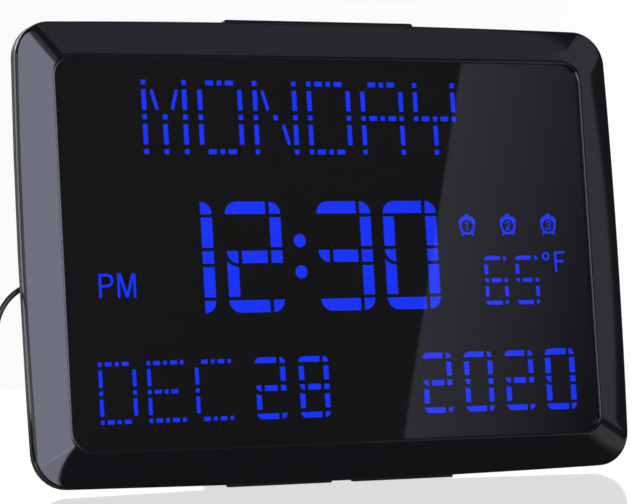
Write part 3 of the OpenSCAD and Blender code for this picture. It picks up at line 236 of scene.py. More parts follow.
def dressed(name, coat, width, segments=2):
    """A copy of a CAD node with its flat faces joined and its edges rounded, in its place."""
    mesh = NODES[name].data.copy()
    mesh.name = name + "_dressed"
    work = bmesh.new()
    work.from_mesh(mesh)
    bmesh.ops.remove_doubles(work, verts=work.verts, dist=2e-6)
    bmesh.ops.dissolve_limit(work, angle_limit=math.radians(0.6), verts=work.verts, edges=work.edges)
    work.to_mesh(mesh)
    work.free()
    finish_mesh(mesh, coat, sharp=35)
    piece = link_object(name + "_dressed", mesh)
    bevel = piece.modifiers.new("rounded edges", "BEVEL")
    bevel.width = width
    bevel.segments = segments
    bevel.limit_method = "ANGLE"
    bevel.angle_limit = math.radians(40)
    bevel.use_clamp_overlap = True
    bevel.harden_normals = True
    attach(piece, BODY_OF[name])
    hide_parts(name)


def dress_node(name, coat):
    """Gives a CAD node its material, on every slot."""
    data = NODES[name].data
    if not data.materials:
        data.materials.append(coat)
    for i in range(len(data.materials)):
        data.materials[i] = coat


# ---------------------------------------------------------------- shader groups

def shader_group(name, inputs, outputs):
    """An empty shader group with named inputs (name, socket type, default) and outputs."""
    tree = bpy.data.node_groups.new(name, "ShaderNodeTree")
    for label, kind, value in inputs:
        socket = tree.interface.new_socket(label, in_out="INPUT", socket_type=kind)
        socket.default_value = value
    for label, kind in outputs:
        tree.interface.new_socket(label, in_out="OUTPUT", socket_type=kind)
    return tree, tree.nodes.new("NodeGroupInput"), tree.nodes.new("NodeGroupOutput")


def node(tree, kind, values=None, **settings_of):
    """A new node with attributes set by name and inputs set by label or number."""
    made = tree.nodes.new("ShaderNode" + kind)
    for key, value in settings_of.items():
        setattr(made, key, value)
    for key, value in (values or {}).items():
        made.inputs[key].default_value = value
    return made


def grain_group():
    """Moulded grain: fine cells and finer noise in object space, as a height from 0 to 1."""
    tree, given, out = shader_group(
        "moulded_grain", [("Scale", "NodeSocketFloat", 2500.0), ("Fine share", "NodeSocketFloat", 0.4)],
        [("Height", "NodeSocketFloat")])
    place = node(tree, "TexCoord")
    cells = node(tree, "TexVoronoi", feature="SMOOTH_F1")
    noise = node(tree, "TexNoise", {"Detail": 3.0, "Roughness": 0.6})
    finer = node(tree, "Math", {1: 1.9}, operation="MULTIPLY")
    blend = node(tree, "Mix")
    link = tree.links.new
    link(given.outputs["Scale"], cells.inputs["Scale"])
    link(given.outputs["Scale"], finer.inputs[0])
    link(finer.outputs[0], noise.inputs["Scale"])
    link(place.outputs["Object"], cells.inputs["Vector"])
    link(place.outputs["Object"], noise.inputs["Vector"])
    link(given.outputs["Fine share"], blend.inputs["Factor"])
    link(cells.outputs["Distance"], blend.inputs["A"])
    link(noise.outputs["Fac"], blend.inputs["B"])
    link(blend.outputs["Result"], out.inputs["Height"])
    return tree


def drift(tree, given, detail, roughness):
    """Noise in object space about zero, at the group's Scale and times its Spread."""
    place = node(tree, "TexCoord")
    noise = node(tree, "TexNoise", {"Detail": detail, "Roughness": roughness})
    centred = node(tree, "Math", {1: 0.5}, operation="SUBTRACT")
    scaled = node(tree, "Math", operation="MULTIPLY")
    link = tree.links.new
    link(place.outputs["Object"], noise.inputs["Vector"])
    link(given.outputs["Scale"], noise.inputs["Scale"])
    link(noise.outputs["Fac"], centred.inputs[0])
    link(centred.outputs[0], scaled.inputs[0])
    link(given.outputs["Spread"], scaled.inputs[1])
    return scaled.outputs[0]


def sheen_group():
    """Uneven gloss: a roughness that drifts with broad and fine noise, as handling leaves it."""
    tree, given, out = shader_group(
        "handled_sheen", [("Roughness", "NodeSocketFloat", 0.3), ("Spread", "NodeSocketFloat", 0.05),
                          ("Scale", "NodeSocketFloat", 30.0)], [("Roughness", "NodeSocketFloat")])
    total = node(tree, "Math", operation="ADD", use_clamp=True)
    link = tree.links.new
    link(drift(tree, given, 6.0, 0.65), total.inputs[0])
    link(given.outputs["Roughness"], total.inputs[1])
    link(total.outputs[0], out.inputs["Roughness"])
    return tree


def tone_group():
    """Uneven colour: a colour made a little lighter and darker by noise."""
    tree, given, out = shader_group(
        "moulded_tone", [("Colour", "NodeSocketColor", (0.5, 0.5, 0.5, 1)),
                         ("Spread", "NodeSocketFloat", 0.1), ("Scale", "NodeSocketFloat", 40.0)],
        [("Colour", "NodeSocketColor")])
    factor = node(tree, "Math", {1: 1.0}, operation="ADD")
    product = node(tree, "VectorMath", operation="SCALE")
    link = tree.links.new
    link(drift(tree, given, 4.0, 0.55), factor.inputs[0])
    link(given.outputs["Colour"], product.inputs[0])
    link(factor.outputs[0], product.inputs["Scale"])
    link(product.outputs[0], out.inputs["Colour"])
    return tree


def drawn_group():
    """Drawn metal: noise stretched along X in object space, as a height from 0 to 1."""
    tree, given, out = shader_group("drawn_lines", [("Scale", "NodeSocketFloat", 400.0)],
                                    [("Height", "NodeSocketFloat")])
    place = node(tree, "TexCoord")
    stretched = node(tree, "Mapping")
    stretched.inputs["Scale"].default_value = (0.03, 1.0, 1.0)
    noise = node(tree, "TexNoise", {"Detail": 4.0})
    link = tree.links.new
    link(place.outputs["Object"], stretched.inputs["Vector"])
    link(stretched.outputs[0], noise.inputs["Vector"])
    link(given.outputs["Scale"], noise.inputs["Scale"])
    link(noise.outputs["Fac"], out.inputs["Height"])
    return tree


GROUP_MAKERS = {"moulded_grain": grain_group, "handled_sheen": sheen_group,
                "moulded_tone": tone_group, "drawn_lines": drawn_group}
GROUPS = {}


def group_in(tree, name, values):
    """A shader group placed in a material with its own values. Each group is built once."""
    if name not in GROUPS:
        GROUPS[name] = GROUP_MAKERS[name]()
    made = tree.nodes.new("ShaderNodeGroup")
    made.node_tree = GROUPS[name]
    for key, value in values.items():
        made.inputs[key].default_value = value
    return made


def plain(name, colour_of, roughness, tone=0.12, tone_scale=60.0, sheen=0.06, sheen_scale=45.0,
          grain=None, lines=None, fine=0.4, **socket_values):
    """A material with a Principled shader, its own toned colour and its drifting gloss. tone and
    sheen are spreads, and grain or lines the (scale, height in metres) of a bump. What is left
    over sets the shader's sockets, with their names' spaces as underscores."""
    made = bpy.data.materials.new(name)
    made.use_nodes = True
    tree = made.node_tree
    shader = tree.nodes["Principled BSDF"]
    for key, value in socket_values.items():
        shader.inputs[key.replace("_", " ")].default_value = value
    link = tree.links.new
    toned = group_in(tree, "moulded_tone", {"Colour": (*colour_of[:3], 1), "Spread": tone,
                                            "Scale": tone_scale})
    link(toned.outputs[0], shader.inputs["Base Color"])
    handled = group_in(tree, "handled_sheen", {"Roughness": roughness, "Spread": sheen,
                                               "Scale": sheen_scale})
    link(handled.outputs[0], shader.inputs["Roughness"])
    if grain:
        add_bump(tree, "moulded_grain", {"Scale": grain[0], "Fine share": fine}, grain[1])
    elif lines:
        add_bump(tree, "drawn_lines", {"Scale": lines[0]}, lines[1])
    return made


def add_bump(tree, group, values, height):
    """A group's Height as a bump on the material's shader, that many metres high."""
    relief = group_in(tree, group, values)
    bump = node(tree, "Bump", {"Distance": height, "Strength": 1.0})
    tree.links.new(relief.outputs["Height"], bump.inputs["Height"])
    tree.links.new(bump.outputs["Normal"], tree.nodes["Principled BSDF"].inputs["Normal"])


def lit_pad():
    """Frosted pad lit from behind: an even blue glow, a touch uneven."""
    made = plain("lit_pad", (0.003, 0.005, 0.03), 0.5, tone=0.05, Specular_IOR_Level=0.1,
                 Emission_Strength=1.1)
    tree = made.node_tree
    glow = group_in(tree, "moulded_tone", {"Colour": (*settings("finish").lit, 1), "Spread": 0.05,
                                           "Scale": 220.0})
    tree.links.new(glow.outputs[0], tree.nodes["Principled BSDF"].inputs["Emission Color"])
    return made


def tinted_glass():
    """Polished acrylic with a faint grey tint."""
    return plain("tinted_window", settings("finish").lens, 0.015, tone=0.0, sheen=0.01,
                 sheen_scale=12.0, IOR=1.49, Transmission_Weight=1.0)


MATERIALS = {}


def material(name):
    """A finish by name, made when it is first asked for."""
    if name not in MATERIALS:
        MATERIALS[name] = finishes()[name]()
    return MATERIALS[name]


def finishes():
    """How each finish is made, by name."""
    finish = settings("finish")
    return {
        "frame": lambda: plain("frame_gloss", finish.frame_black, 0.06, sheen=0.03, sheen_scale=28.0,
                               tone=0.1, IOR=1.5),
        # painted shade: the frame plastic again, with its reflections dimmed and tinted blue, so the
        # side wall reads darker
        "frame_side": lambda: plain("frame_side_painted_shade", finish.frame_black, 0.2, sheen=0.05, tone=0.1,
                                    grain=(5200.0, 1e-6), Specular_IOR_Level=0.22,
                                    Specular_Tint=(0.82, 0.83, 1.0, 1.0)),
        "cover": lambda: plain("cover_spark_texture", finish.cover_black, 0.46, grain=(1500.0, 2.4e-5),
                               sheen=0.1, tone=0.25, tone_scale=90.0, IOR=1.5),
        "light_box": lambda: plain("light_box_black", finish.light_box, 0.6, grain=(3000.0, 6e-6),
                                   Specular_IOR_Level=0.05),
        "lit": lit_pad,
        "lens": tinted_glass,
        "bar": lambda: plain("bar_polished", finish.frame_black, 0.1, grain=(6000.0, 8e-7), IOR=1.5),
        "key": lambda: plain("key_satin", finish.cover_black, 0.34, grain=(4200.0, 6e-6)),
        "rubber": lambda: plain("foot_rubber", finish.rubber, 0.62, grain=(3800.0, 1.2e-5), tone=0.3),
        "lead": lambda: plain("lead_sheath", finish.rubber, 0.36, grain=(2600.0, 9e-6), tone=0.2,
                              sheen=0.12),
        "overmould": lambda: plain("plug_overmould", finish.rubber, 0.4, grain=(3200.0, 8e-6)),
        "adapter": lambda: plain("adapter_texture", finish.cover_black, 0.42, grain=(1700.0, 1.6e-5),
                                 tone=0.2),
        "strap": lambda: plain("tie_strap", (0.015, 0.015, 0.016), 0.8, grain=(5200.0, 6e-5),
                               fine=0.9),
        "blade": lambda: plain("nickel_blade", (0.72, 0.71, 0.69), 0.2, Metallic=1.0,
                               lines=(900.0, 3e-6)),
        "steel": lambda: plain("bright_steel", (0.62, 0.62, 0.64), 0.26, Metallic=1.0,
                               lines=(1200.0, 3e-6)),
        "black_steel": lambda: plain("blackened_steel", (0.04, 0.04, 0.042), 0.38, Metallic=0.8,
                                     grain=(4000.0, 3e-6)),
        "brass": lambda: plain("contact_brass", (0.72, 0.52, 0.22), 0.3, Metallic=1.0,
                               lines=(1000.0, 2e-6)),
        "can": lambda: plain("metal_can", (0.7, 0.7, 0.72), 0.32, Metallic=1.0,
                             lines=(1500.0, 3e-6)),
        "board": lambda: plain("solder_resist", (0.012, 0.11, 0.045), 0.35, tone=0.5, tone_scale=300.0,
                               grain=(900.0, 1e-5)),
        "chip": lambda: plain("moulded_package", (0.02, 0.02, 0.021), 0.55, grain=(5000.0, 8e-6)),
        "resin": lambda: plain("led_resin", (0.75, 0.7, 0.42), 0.2, tone=0.3, tone_scale=700.0),
        "sleeve": lambda: plain("capacitor_sleeve", (0.03, 0.035, 0.1), 0.25, tone=0.2),
        "cone": lambda: plain("speaker_frame", (0.05, 0.05, 0.05), 0.5, grain=(2500.0, 2e-5)),
        "ribbon": lambda: plain("ribbon_grey", (0.5, 0.5, 0.48), 0.4, lines=(2400.0, 4e-5)),
    }


# ---------------------------------------------------------------- front frame

def outline_point(s, width, height, radius, bow, out):
    """Points of a bowed outline, moved out by out. s runs from 0 to 8: each even step turns a
    quarter circle round a corner, and each odd step runs along a side. The rounded rectangle is
    then bowed in a parabola: x grows with one less the square of z, and z with that of x."""
    quarter = np.floor(s / 2).astype(int) % 4
    part = s - 2 * np.floor(s / 2)
    angle = np.pi / 2 * (quarter + np.minimum(part, 1))
    run = np.maximum(part - 1, 0)
    centre = np.array([[1, 1], [-1, 1], [-1, -1], [1, -1]])[quarter]
    centre = centre * [width / 2 - radius, height / 2 - radius]
    along = np.array([[-1, 0], [0, -1], [1, 0], [0, 1]])[quarter]
    length = np.where(quarter % 2 == 0, width, height) - 2 * radius
    p = centre + (radius + out)[:, None] * np.stack([np.cos(angle), np.sin(angle)], -1)
    p = p + along * (run * length)[:, None]
    w, h = width + 2 * out, height + 2 * out
    x = p[:, 0] * (1 + 2 * bow / w * (1 - (2 * p[:, 1] / h) ** 2))
    z = p[:, 1] * (1 + 2 * bow / h * (1 - (2 * p[:, 0] / w) ** 2))
    return np.stack([x, z], -1)


def frame_profile(shell):
    """Points of the frame's section as (share, out, y): share 0 follows the window and 1 the
    outer outline. The lip is a quarter circle, the bezel a straight slope with a faint crown,
    and the outer edge an arc from the slope to the side wall. A second list of as many points
    holds the section where a slot is cut through the side wall."""
    lip = [(0, shell.lip * (1 - math.cos(a)), shell.lip * (1 - math.sin(a)))
           for a in np.linspace(0, math.pi / 2, 7)]
    slope = math.atan2(shell.drop, (shell.width - shell.window_width) / 2)
    edge = [(1, shell.edge * (math.sin(a) - 1), shell.drop + EDGE_FALL - shell.edge * math.cos(a))
            for a in np.linspace(slope, math.pi / 2, 9)]
    start, end = lip[-1], edge[0]
    bezel = []
    for t in np.linspace(0, 1, 16)[1:-1]:
        crown = CROWN * 4 * t * (1 - t)
        bezel.append((t, start[1] * (1 - t) + end[1] * t, start[2] * (1 - t) + end[2] * t - crown))
    front = [(0, 0, shell.lip_depth), (0, 0, shell.lip + 0.4 * MM)] + lip + bezel + edge
    front.append((1, 0, shell.bar_front - 0.02 * MM))
    halfway = 0.08 * MM   # where the rear edge's rounding is halfway
    inside = (1, -shell.wall, shell.drop + shell.wall)
    side = [(1, 0, shell.bar_front), (1, 0, shell.side - REAR_EDGE),
            (1, -halfway, shell.side - halfway), (1, -REAR_EDGE, shell.side),
            (1, -shell.wall, shell.side), inside]
    cut = [(1, 0, shell.bar_front), (1, -0.8 * MM, shell.bar_front),
           (1, -1.6 * MM, shell.bar_front), (1, -shell.wall, shell.bar_front),
           (1, -shell.wall, shell.bar_front + 0.05 * MM), inside]
    back = [(0, 6 * MM, shell.drop + FACE_WALL), (0, 4 * MM, shell.drop + FACE_WALL),
            (0, 4 * MM, shell.lip_depth)]
    return front + side + back, front + cut + back


def notch_spans(shell):
    """Where slots cut the side wall, along the outline: the press bar's on the top side, and a
    pry slot low on each side wall, from its straight part into the corner's arc."""
    run = shell.width - 2 * shell.corner
    half = shell.bar_width / run / 2
    top = (1.5 - half, 1.5 + half)
    straight = shell.height / 2 - shell.corner
    low = math.asin((-PRY_LOW - straight) / shell.corner) / (math.pi / 2)
    rise = (straight + PRY_HIGH) / (shell.height - 2 * shell.corner)
    left = (4 - rise, 4 + low)
    right = (7 - low, 7 + rise)
    return [top, left, right]


def frame_surface(shell):
    """The frame's section carried round its outline: columns along the outline, doubled where
    a slot starts and ends, and in each the points of its section."""
    smooth = np.concatenate(
        [np.linspace(2 * q, 2 * q + 1, CORNER_STEPS, endpoint=False) for q in range(4)]
        + [np.linspace(2 * q + 1, 2 * q + 2, SIDE_STEPS, endpoint=False) for q in range(4)])
    spans = notch_spans(shell)
    ends = [s for span in spans for s in span]
    s = np.concatenate([smooth, ends, ends])
    cut = np.zeros(len(s), bool)
    for low, high in spans:
        cut[:len(smooth)] |= (smooth > low) & (smooth < high)
    cut[len(smooth) + len(ends):] = True
    # at a slot's start its plain column comes first, and at its end last
    tie = np.zeros(len(s))
    starts = np.tile([0, 1], len(spans))
    tie[len(smooth):len(smooth) + len(ends)] = np.where(starts == 0, -1, 1)
    order = np.lexsort((tie, s))
    s, cut = s[order], cut[order]
    whole, slotted = (np.array(section, float) for section in frame_profile(shell))
    rings = np.where(cut[:, None, None], slotted[None], whole[None])
    points = np.zeros((len(s), rings.shape[1], 3))
    for k in range(rings.shape[1]):
        share, out, y = rings[:, k].T
        window = outline_point(s, shell.window_width, shell.window_height, shell.window_corner,
                               0, out)
        edge = outline_point(s, shell.width, shell.height, shell.corner, shell.bow, out)
        flat = window * (1 - share)[:, None] + edge * share[:, None]
        points[:, k] = np.stack([flat[:, 0], y, flat[:, 1]], -1)
    return points


class DAYCLOCK_OT_frame(bpy.types.Operator):
    """Builds the front frame with its sloped bezel, lip and slots."""
    bl_idname = "day_clock.front_frame"
    bl_label = "Front frame"

    def execute(self, context):
        shell = settings("shell")
        points = frame_surface(shell)
        faces = sheet_faces(points.shape[0], points.shape[1], True, True)
        piece = new_piece("frame_shell", leaned(points), faces, "front_frame", material("frame"),
                          sharp=32)
        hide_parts("front_frame")
        self.paint_side_shade(piece.data, shell.drop + EDGE_FALL)
        return {"FINISHED"}

    def paint_side_shade(self, mesh, start):
        """Gives the side wall its painted shade: every face further behind the lip than start."""
        centre = np.zeros(len(mesh.polygons) * 3)
        mesh.polygons.foreach_get("center", centre)
        depth = (centre.reshape(-1, 3) - LIP_CENTRE) @ [0, math.cos(LEAN), -math.sin(LEAN)]
        mesh.materials.append(material("frame_side"))
        mesh.polygons.foreach_set("material_index", (depth > start).astype(np.int32))


# ---------------------------------------------------------------- lead

# The lead's route, in metres from the lip's middle along x and y and from the ground along z:
# out of the plug, down and into the coil, and then from the coil's top into the adapter
ROUTE_IN = np.array([
    [-141, 16.4, 94.1], [-144, 16.4, 94.1], [-148, 16.4, 93.6], [-152, 16.4, 92.1],
    [-156, 16.4, 89.3], [-159, 16.4, 86.1], [-161.5, 16.4, 82], [-163, 16.4, 77.5],
    [-163.7, 16.4, 72], [-163.7, 16.4, 62], [-163.7, 16.4, 52], [-163.7, 16.4, 42],
    [-163.7, 16.4, 32], [-163.7, 16.6, 25], [-163.7, 17.6, 19], [-163.7, 19.8, 13],
    [-163.7, 23.2, 8], [-163.7, 27.5, 4.6], [-163.7, 32.5, 2.6], [-163.7, 38, 2.1],
    [-163.7, 42.4, 2.1]]) * MM
ROUTE_OUT = np.array([
    [-163.7, 47.6, 11.4], [-163.7, 50, 11.4], [-163.7, 54, 11.7], [-163.7, 58, 12.3],
    [-163.7, 62, 12.9], [-163.7, 66, 13]]) * MM
COIL_CENTRE = np.array([-184, 45, 2.1]) * MM


def smooth_route(points, steps=6):
    """A smooth curve through the points: between each two, a cubic whose slopes are those of
    the points on either side."""
    before = np.vstack([2 * points[0] - points[1], points[:-1]])
    after = np.vstack([points[1:], 2 * points[-1] - points[-2]])
    slope = (after - before) / 2
    t = np.linspace(0, 1, steps, endpoint=False)[None, :, None]
    p, q, m, n = points[:-1, None], points[1:, None], slope[:-1, None], slope[1:, None]
    curve = ((2 * t**3 - 3 * t**2 + 1) * p + (t**3 - 2 * t**2 + t) * m
             + (3 * t**2 - 2 * t**3) * q + (t**3 - t**2) * n)
    return np.vstack([curve.reshape(-1, 3), points[-1:]])


def coil_path(lead):
    """Loops that spiral in and out at a steady rate, layer on layer, and climb in the half turn
    round each reversal."""
    per_layer = lead.loops / lead.layers
    u = np.linspace(0, lead.loops, lead.loops * LOOP_STEPS + 1)
    layer = np.floor(u / per_layer)
    part = u / per_layer - layer
    fold = np.where(layer % 2 == 0, part, 1 - part)
    climb = sum(np.clip((u - k * per_layer + 0.25) * 2, 0, 1) for k in range(1, lead.layers))
    r = lead.coil_radius - fold * per_layer * lead.coil_step
    ring = np.stack([r * np.cos(2 * np.pi * u), r * np.sin(2 * np.pi * u), climb * lead.coil_step], -1)
    return COIL_CENTRE + ring


def tube(path, radius, sides):
    """A round section carried along a path without twist: each frame is the last one, turned as
    little as the path turns."""
    tangent = np.gradient(path, axis=0)
    tangent /= np.linalg.norm(tangent, axis=1)[:, None]
    side = np.zeros_like(path)
    carried = np.cross(tangent[0], [0.0, 1.0, 0.0])
    for i, t in enumerate(tangent):
        carried = carried - t * (carried @ t)
        carried /= np.linalg.norm(carried)
        side[i] = carried
    other = np.cross(tangent, side)
    a = np.linspace(0, 2 * np.pi, sides, endpoint=False)
    return (path[:, None] + radius * (np.cos(a)[None, :, None] * side[:, None]
                                      + np.sin(a)[None, :, None] * other[:, None]))


def end_caps(rows, columns):
    """The faces that close a tube's two ends."""
    return [list(range(columns))[::-1], list(range((rows - 1) * columns, rows * columns))]


class DAYCLOCK_OT_lead(bpy.types.Operator):
    """Builds the lead: its run to the ground, its coil and its end at the adapter."""
    bl_idname = "day_clock.lead"
    bl_label = "Lead"

    def execute(self, context):
        lead = settings("lead")
        path = np.vstack([smooth_route(ROUTE_IN), coil_path(lead), smooth_route(ROUTE_OUT)])
        path = path + [0, LIP_CENTRE[1], 0]
        skin = tube(path, lead.diameter / 2, LEAD_SIDES)
        grid = skin.shape[:2]
        piece = new_piece("lead_sheath", skin, sheet_faces(*grid, False, True), "lead_run",
                          material("lead"), caps=end_caps(*grid))
        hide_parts("lead_run", "lead_coil", "lead_end")
        return {"FINISHED"}


# ---------------------------------------------------------------- display, cover and the rest

class DAYCLOCK_OT_display(bpy.types.Operator):
    """Finishes the lens, the light box and its lit bars, labels and icons."""
    bl_idname = "day_clock.display"
    bl_label = "Display"

    def execute(self, context):
        dress_node("display_lens", material("lens"))
        dress_node("light_box", material("light_box"))
        for name in ("day_pads", "time_pads", "afternoon_label", "month_pads", "date_pads", "year_pads",
                     "temperature_pads", "degree_label", "alarm_icons"):
            dress_node(name, material("lit"))
        return {"FINISHED"}


class DAYCLOCK_OT_cover(bpy.types.Operator):
    """Dresses the rear cover and the cell's door."""
    bl_idname = "day_clock.cover"
    bl_label = "Rear cover"

    def execute(self, context):
        edge = settings("shell").moulded_edge
        dressed("rear_cover", material("cover"), edge)
        dressed("battery_door", material("cover"), edge)
        return {"FINISHED"}


class DAYCLOCK_OT_keys(bpy.types.Operator):
    """Dresses the press bar and the rear keys."""
    bl_idname = "day_clock.keys"
    bl_label = "Press bar and keys"

    def execute(self, context):
        edge = settings("shell").moulded_edge
        dressed("snooze_bar", material("bar"), edge, segments=3)
        for name in ("menu_key", "minus_key", "plus_key", "alarm_key", "dimmer_key"):
            dressed(name, material("key"), edge, segments=3)
        return {"FINISHED"}


class DAYCLOCK_OT_stand(bpy.types.Operator):
    """Dresses the fold-out stand, its pin and shoe, and the front feet."""
    bl_idname = "day_clock.stand"
    bl_label = "Stand"

    def execute(self, context):
        edge = settings("shell").moulded_edge
        dressed("stand_leg", material("cover"), edge)
        dressed("stand_foot", material("rubber"), edge)
        dressed("front_feet", material("rubber"), edge)
        dress_node("stand_pin", material("steel"))
        return {"FINISHED"}


class DAYCLOCK_OT_adapter(bpy.types.Operator):
    """Dresses the plug, its relief, the coil's tie and the mains adapter."""
    bl_idname = "day_clock.adapter"
    bl_label = "Plug and adapter"

    def execute(self, context):
        for name, finish in (("lead_plug", "overmould"), ("plug_relief", "overmould"),
                             ("coil_tie", "strap"), ("adapter_grommet", "overmould"),
                             ("adapter_case", "adapter"), ("adapter_blades", "blade")):
            dress_node(name, material(finish))
        return {"FINISHED"}


class DAYCLOCK_OT_boards(bpy.types.Operator):
    """Finishes the boards and their parts, the speaker and the backup cell."""
    bl_idname = "day_clock.boards"
    bl_label = "Boards"

    def execute(self, context):
        for name, finish in {
                "display_board": "board", "key_board": "board", "snooze_board": "board",
                "display_leds": "resin", "clock_chip": "chip", "driver_chips": "chip",
                "thermistor": "chip", "clock_crystal": "can", "board_capacitors": "sleeve",
                "dc_jack": "chip", "coin_cell": "steel", "cell_contacts": "brass",
                "alarm_speaker": "cone", "speaker_clamp": "steel",
                "key_switches": "chip", "snooze_switches": "steel", "ribbon_cable": "ribbon"}.items():
            dress_node(name, material(finish))
        return {"FINISHED"}


class DAYCLOCK_OT_fasteners(bpy.types.Operator):
    """Finishes the screws."""
    bl_idname = "day_clock.fasteners"
    bl_label = "Fasteners"

    def execute(self, context):
        dressed("case_screws", material("black_steel"), 0.08 * MM)
        dress_node("board_screws", material("steel"))
        dress_node("key_board_screws", material("steel"))
        return {"FINISHED"}


# ---------------------------------------------------------------- stage

# Upright soft boxes in front, in one plane: name, middle (x, z), size, and the setting that is
# their brightness. The left bezel mirrors the first. It ends where the left corners mirror its
# edge, and a dim strip goes on from it. The left side of the window's lip mirrors the last.
FRONT_PLANE = -2.15
FRONT_BOXES = (("front_soft_box", (-0.325, 0.87), (0.85, 1.74), "front_light"),
               ("front_strip_box", (0.168, 0.87), (0.134, 1.74), "strip_light"),
               ("front_middle_box", (0.36, 0.62), (0.5, 0.66), "front_light"))
# Soft boxes that face the clock from REACH away: name, azimuth and elevation, size, brightness
REACH = 2.0
ROUND_BOXES = (("left_front_box", (-27, 8), (0.42, 0.9), 1.5),
               ("left_wall_box", (-72, 8), (3.2, 0.9), 1.5),
               ("left_soft_box", (-100, 42), (1.0, 0.7), 0.9),
               ("rear_edge_box", (-169, 17), (0.3, 0.45), 5.0),
               ("right_front_box", (51, 19), (0.55, 1.3), 0.62),
               ("right_soft_box", (105, 35), (1.0, 1.0), 1.2),
               ("high_front_box", (27, 43), (0.9, 0.5), 0.4),
               ("top_soft_box", (180, 70), (1.2, 1.2), 1.6))
FLOOR_BEHIND, FLOOR_AHEAD, FLOOR_HALF = 0.62, -5, 4   # the floor's ends along and across the view

# Steps of the studio's brightness: where each starts and ends, and its levels there. Those of the
# world run along the direction seen, from 0 to 1, and those of the floor in metres in the world.
WORLD_BEHIND = (0.5, 0.95, 0.08, 1.0)         # for reflections, from in front to behind
WORLD_SLANT = 0.5                             # how much of X that direction takes with its Y
FLOOR_BACK = (-0.03, 0.1, 0.07, 1.0)          # for reflections, backwards
FLOOR_RIGHT = (0.15, 0.26, 0.0, 0.7)          # to the right
FLOOR_BOX_FRONT = (-0.04, -0.06, 0.0, 4.4)    # the painted reflection of a soft box, forwards
FLOOR_BOX_SIDE = (-0.144, -0.148, 0.0, 1.0)   # and to the left
FLOOR_BOX_SLANT = 0.114                       # how that side turns outwards with Y


def direction(azimuth, elevation):
    """Unit vector: azimuth in degrees to the right of straight in front, elevation above level."""
    a, e = math.radians(azimuth), math.radians(elevation)
    return np.array([math.sin(a) * math.cos(e), -math.cos(a) * math.cos(e), math.sin(e)])


def ramp(tree, start, end, low, high):
    """A smooth step from low at start to high at end."""
    return node(tree, "MapRange", {"From Min": start, "From Max": end, "To Min": low, "To Max": high},
                interpolation_type="SMOOTHSTEP")


def backdrop_world(stage):
    """White behind the clock for the camera and for reflections, dim in front of it for
    reflections, and plain soft light for everything else."""
    world = bpy.data.worlds.new("studio")
    bpy.context.scene.world = world
    world.use_nodes = True
    tree = world.node_tree
    tree.nodes.clear()
    link = tree.links.new
    place = node(tree, "TexCoord")
    parts = node(tree, "SeparateXYZ")
    slanted = node(tree, "Math", {1: WORLD_SLANT}, operation="MULTIPLY_ADD")
    behind = ramp(tree, *WORLD_BEHIND)
    # the photo's background is a little lighter at its right
    shown = ramp(tree, 0.46, 0.53, stage.backdrop, stage.backdrop + 0.03)
    path = node(tree, "LightPath")
    seen = node(tree, "Math", operation="MAXIMUM")
    soft = node(tree, "Mix", {"A": 0.5})
    level = node(tree, "Mix")
    light = node(tree, "Background", {"Color": (1, 1, 1, 1)})
    out = tree.nodes.new("ShaderNodeOutputWorld")
    link(place.outputs["Generated"], parts.inputs[0])
    link(parts.outputs["X"], slanted.inputs[0])
    link(parts.outputs["Y"], slanted.inputs[2])
    link(slanted.outputs[0], behind.inputs["Value"])
    link(parts.outputs["X"], shown.inputs["Value"])
    link(shown.outputs["Result"], level.inputs["B"])
    link(path.outputs["Is Glossy Ray"], seen.inputs[0])
    link(path.outputs["Is Transmission Ray"], seen.inputs[1])
    link(seen.outputs[0], soft.inputs["Factor"])
    link(behind.outputs["Result"], soft.inputs["B"])
    link(path.outputs["Is Camera Ray"], level.inputs["Factor"])
    link(soft.outputs["Result"], level.inputs["A"])
    link(level.outputs["Result"], light.inputs["Strength"])
    link(light.outputs[0], out.inputs["Surface"])


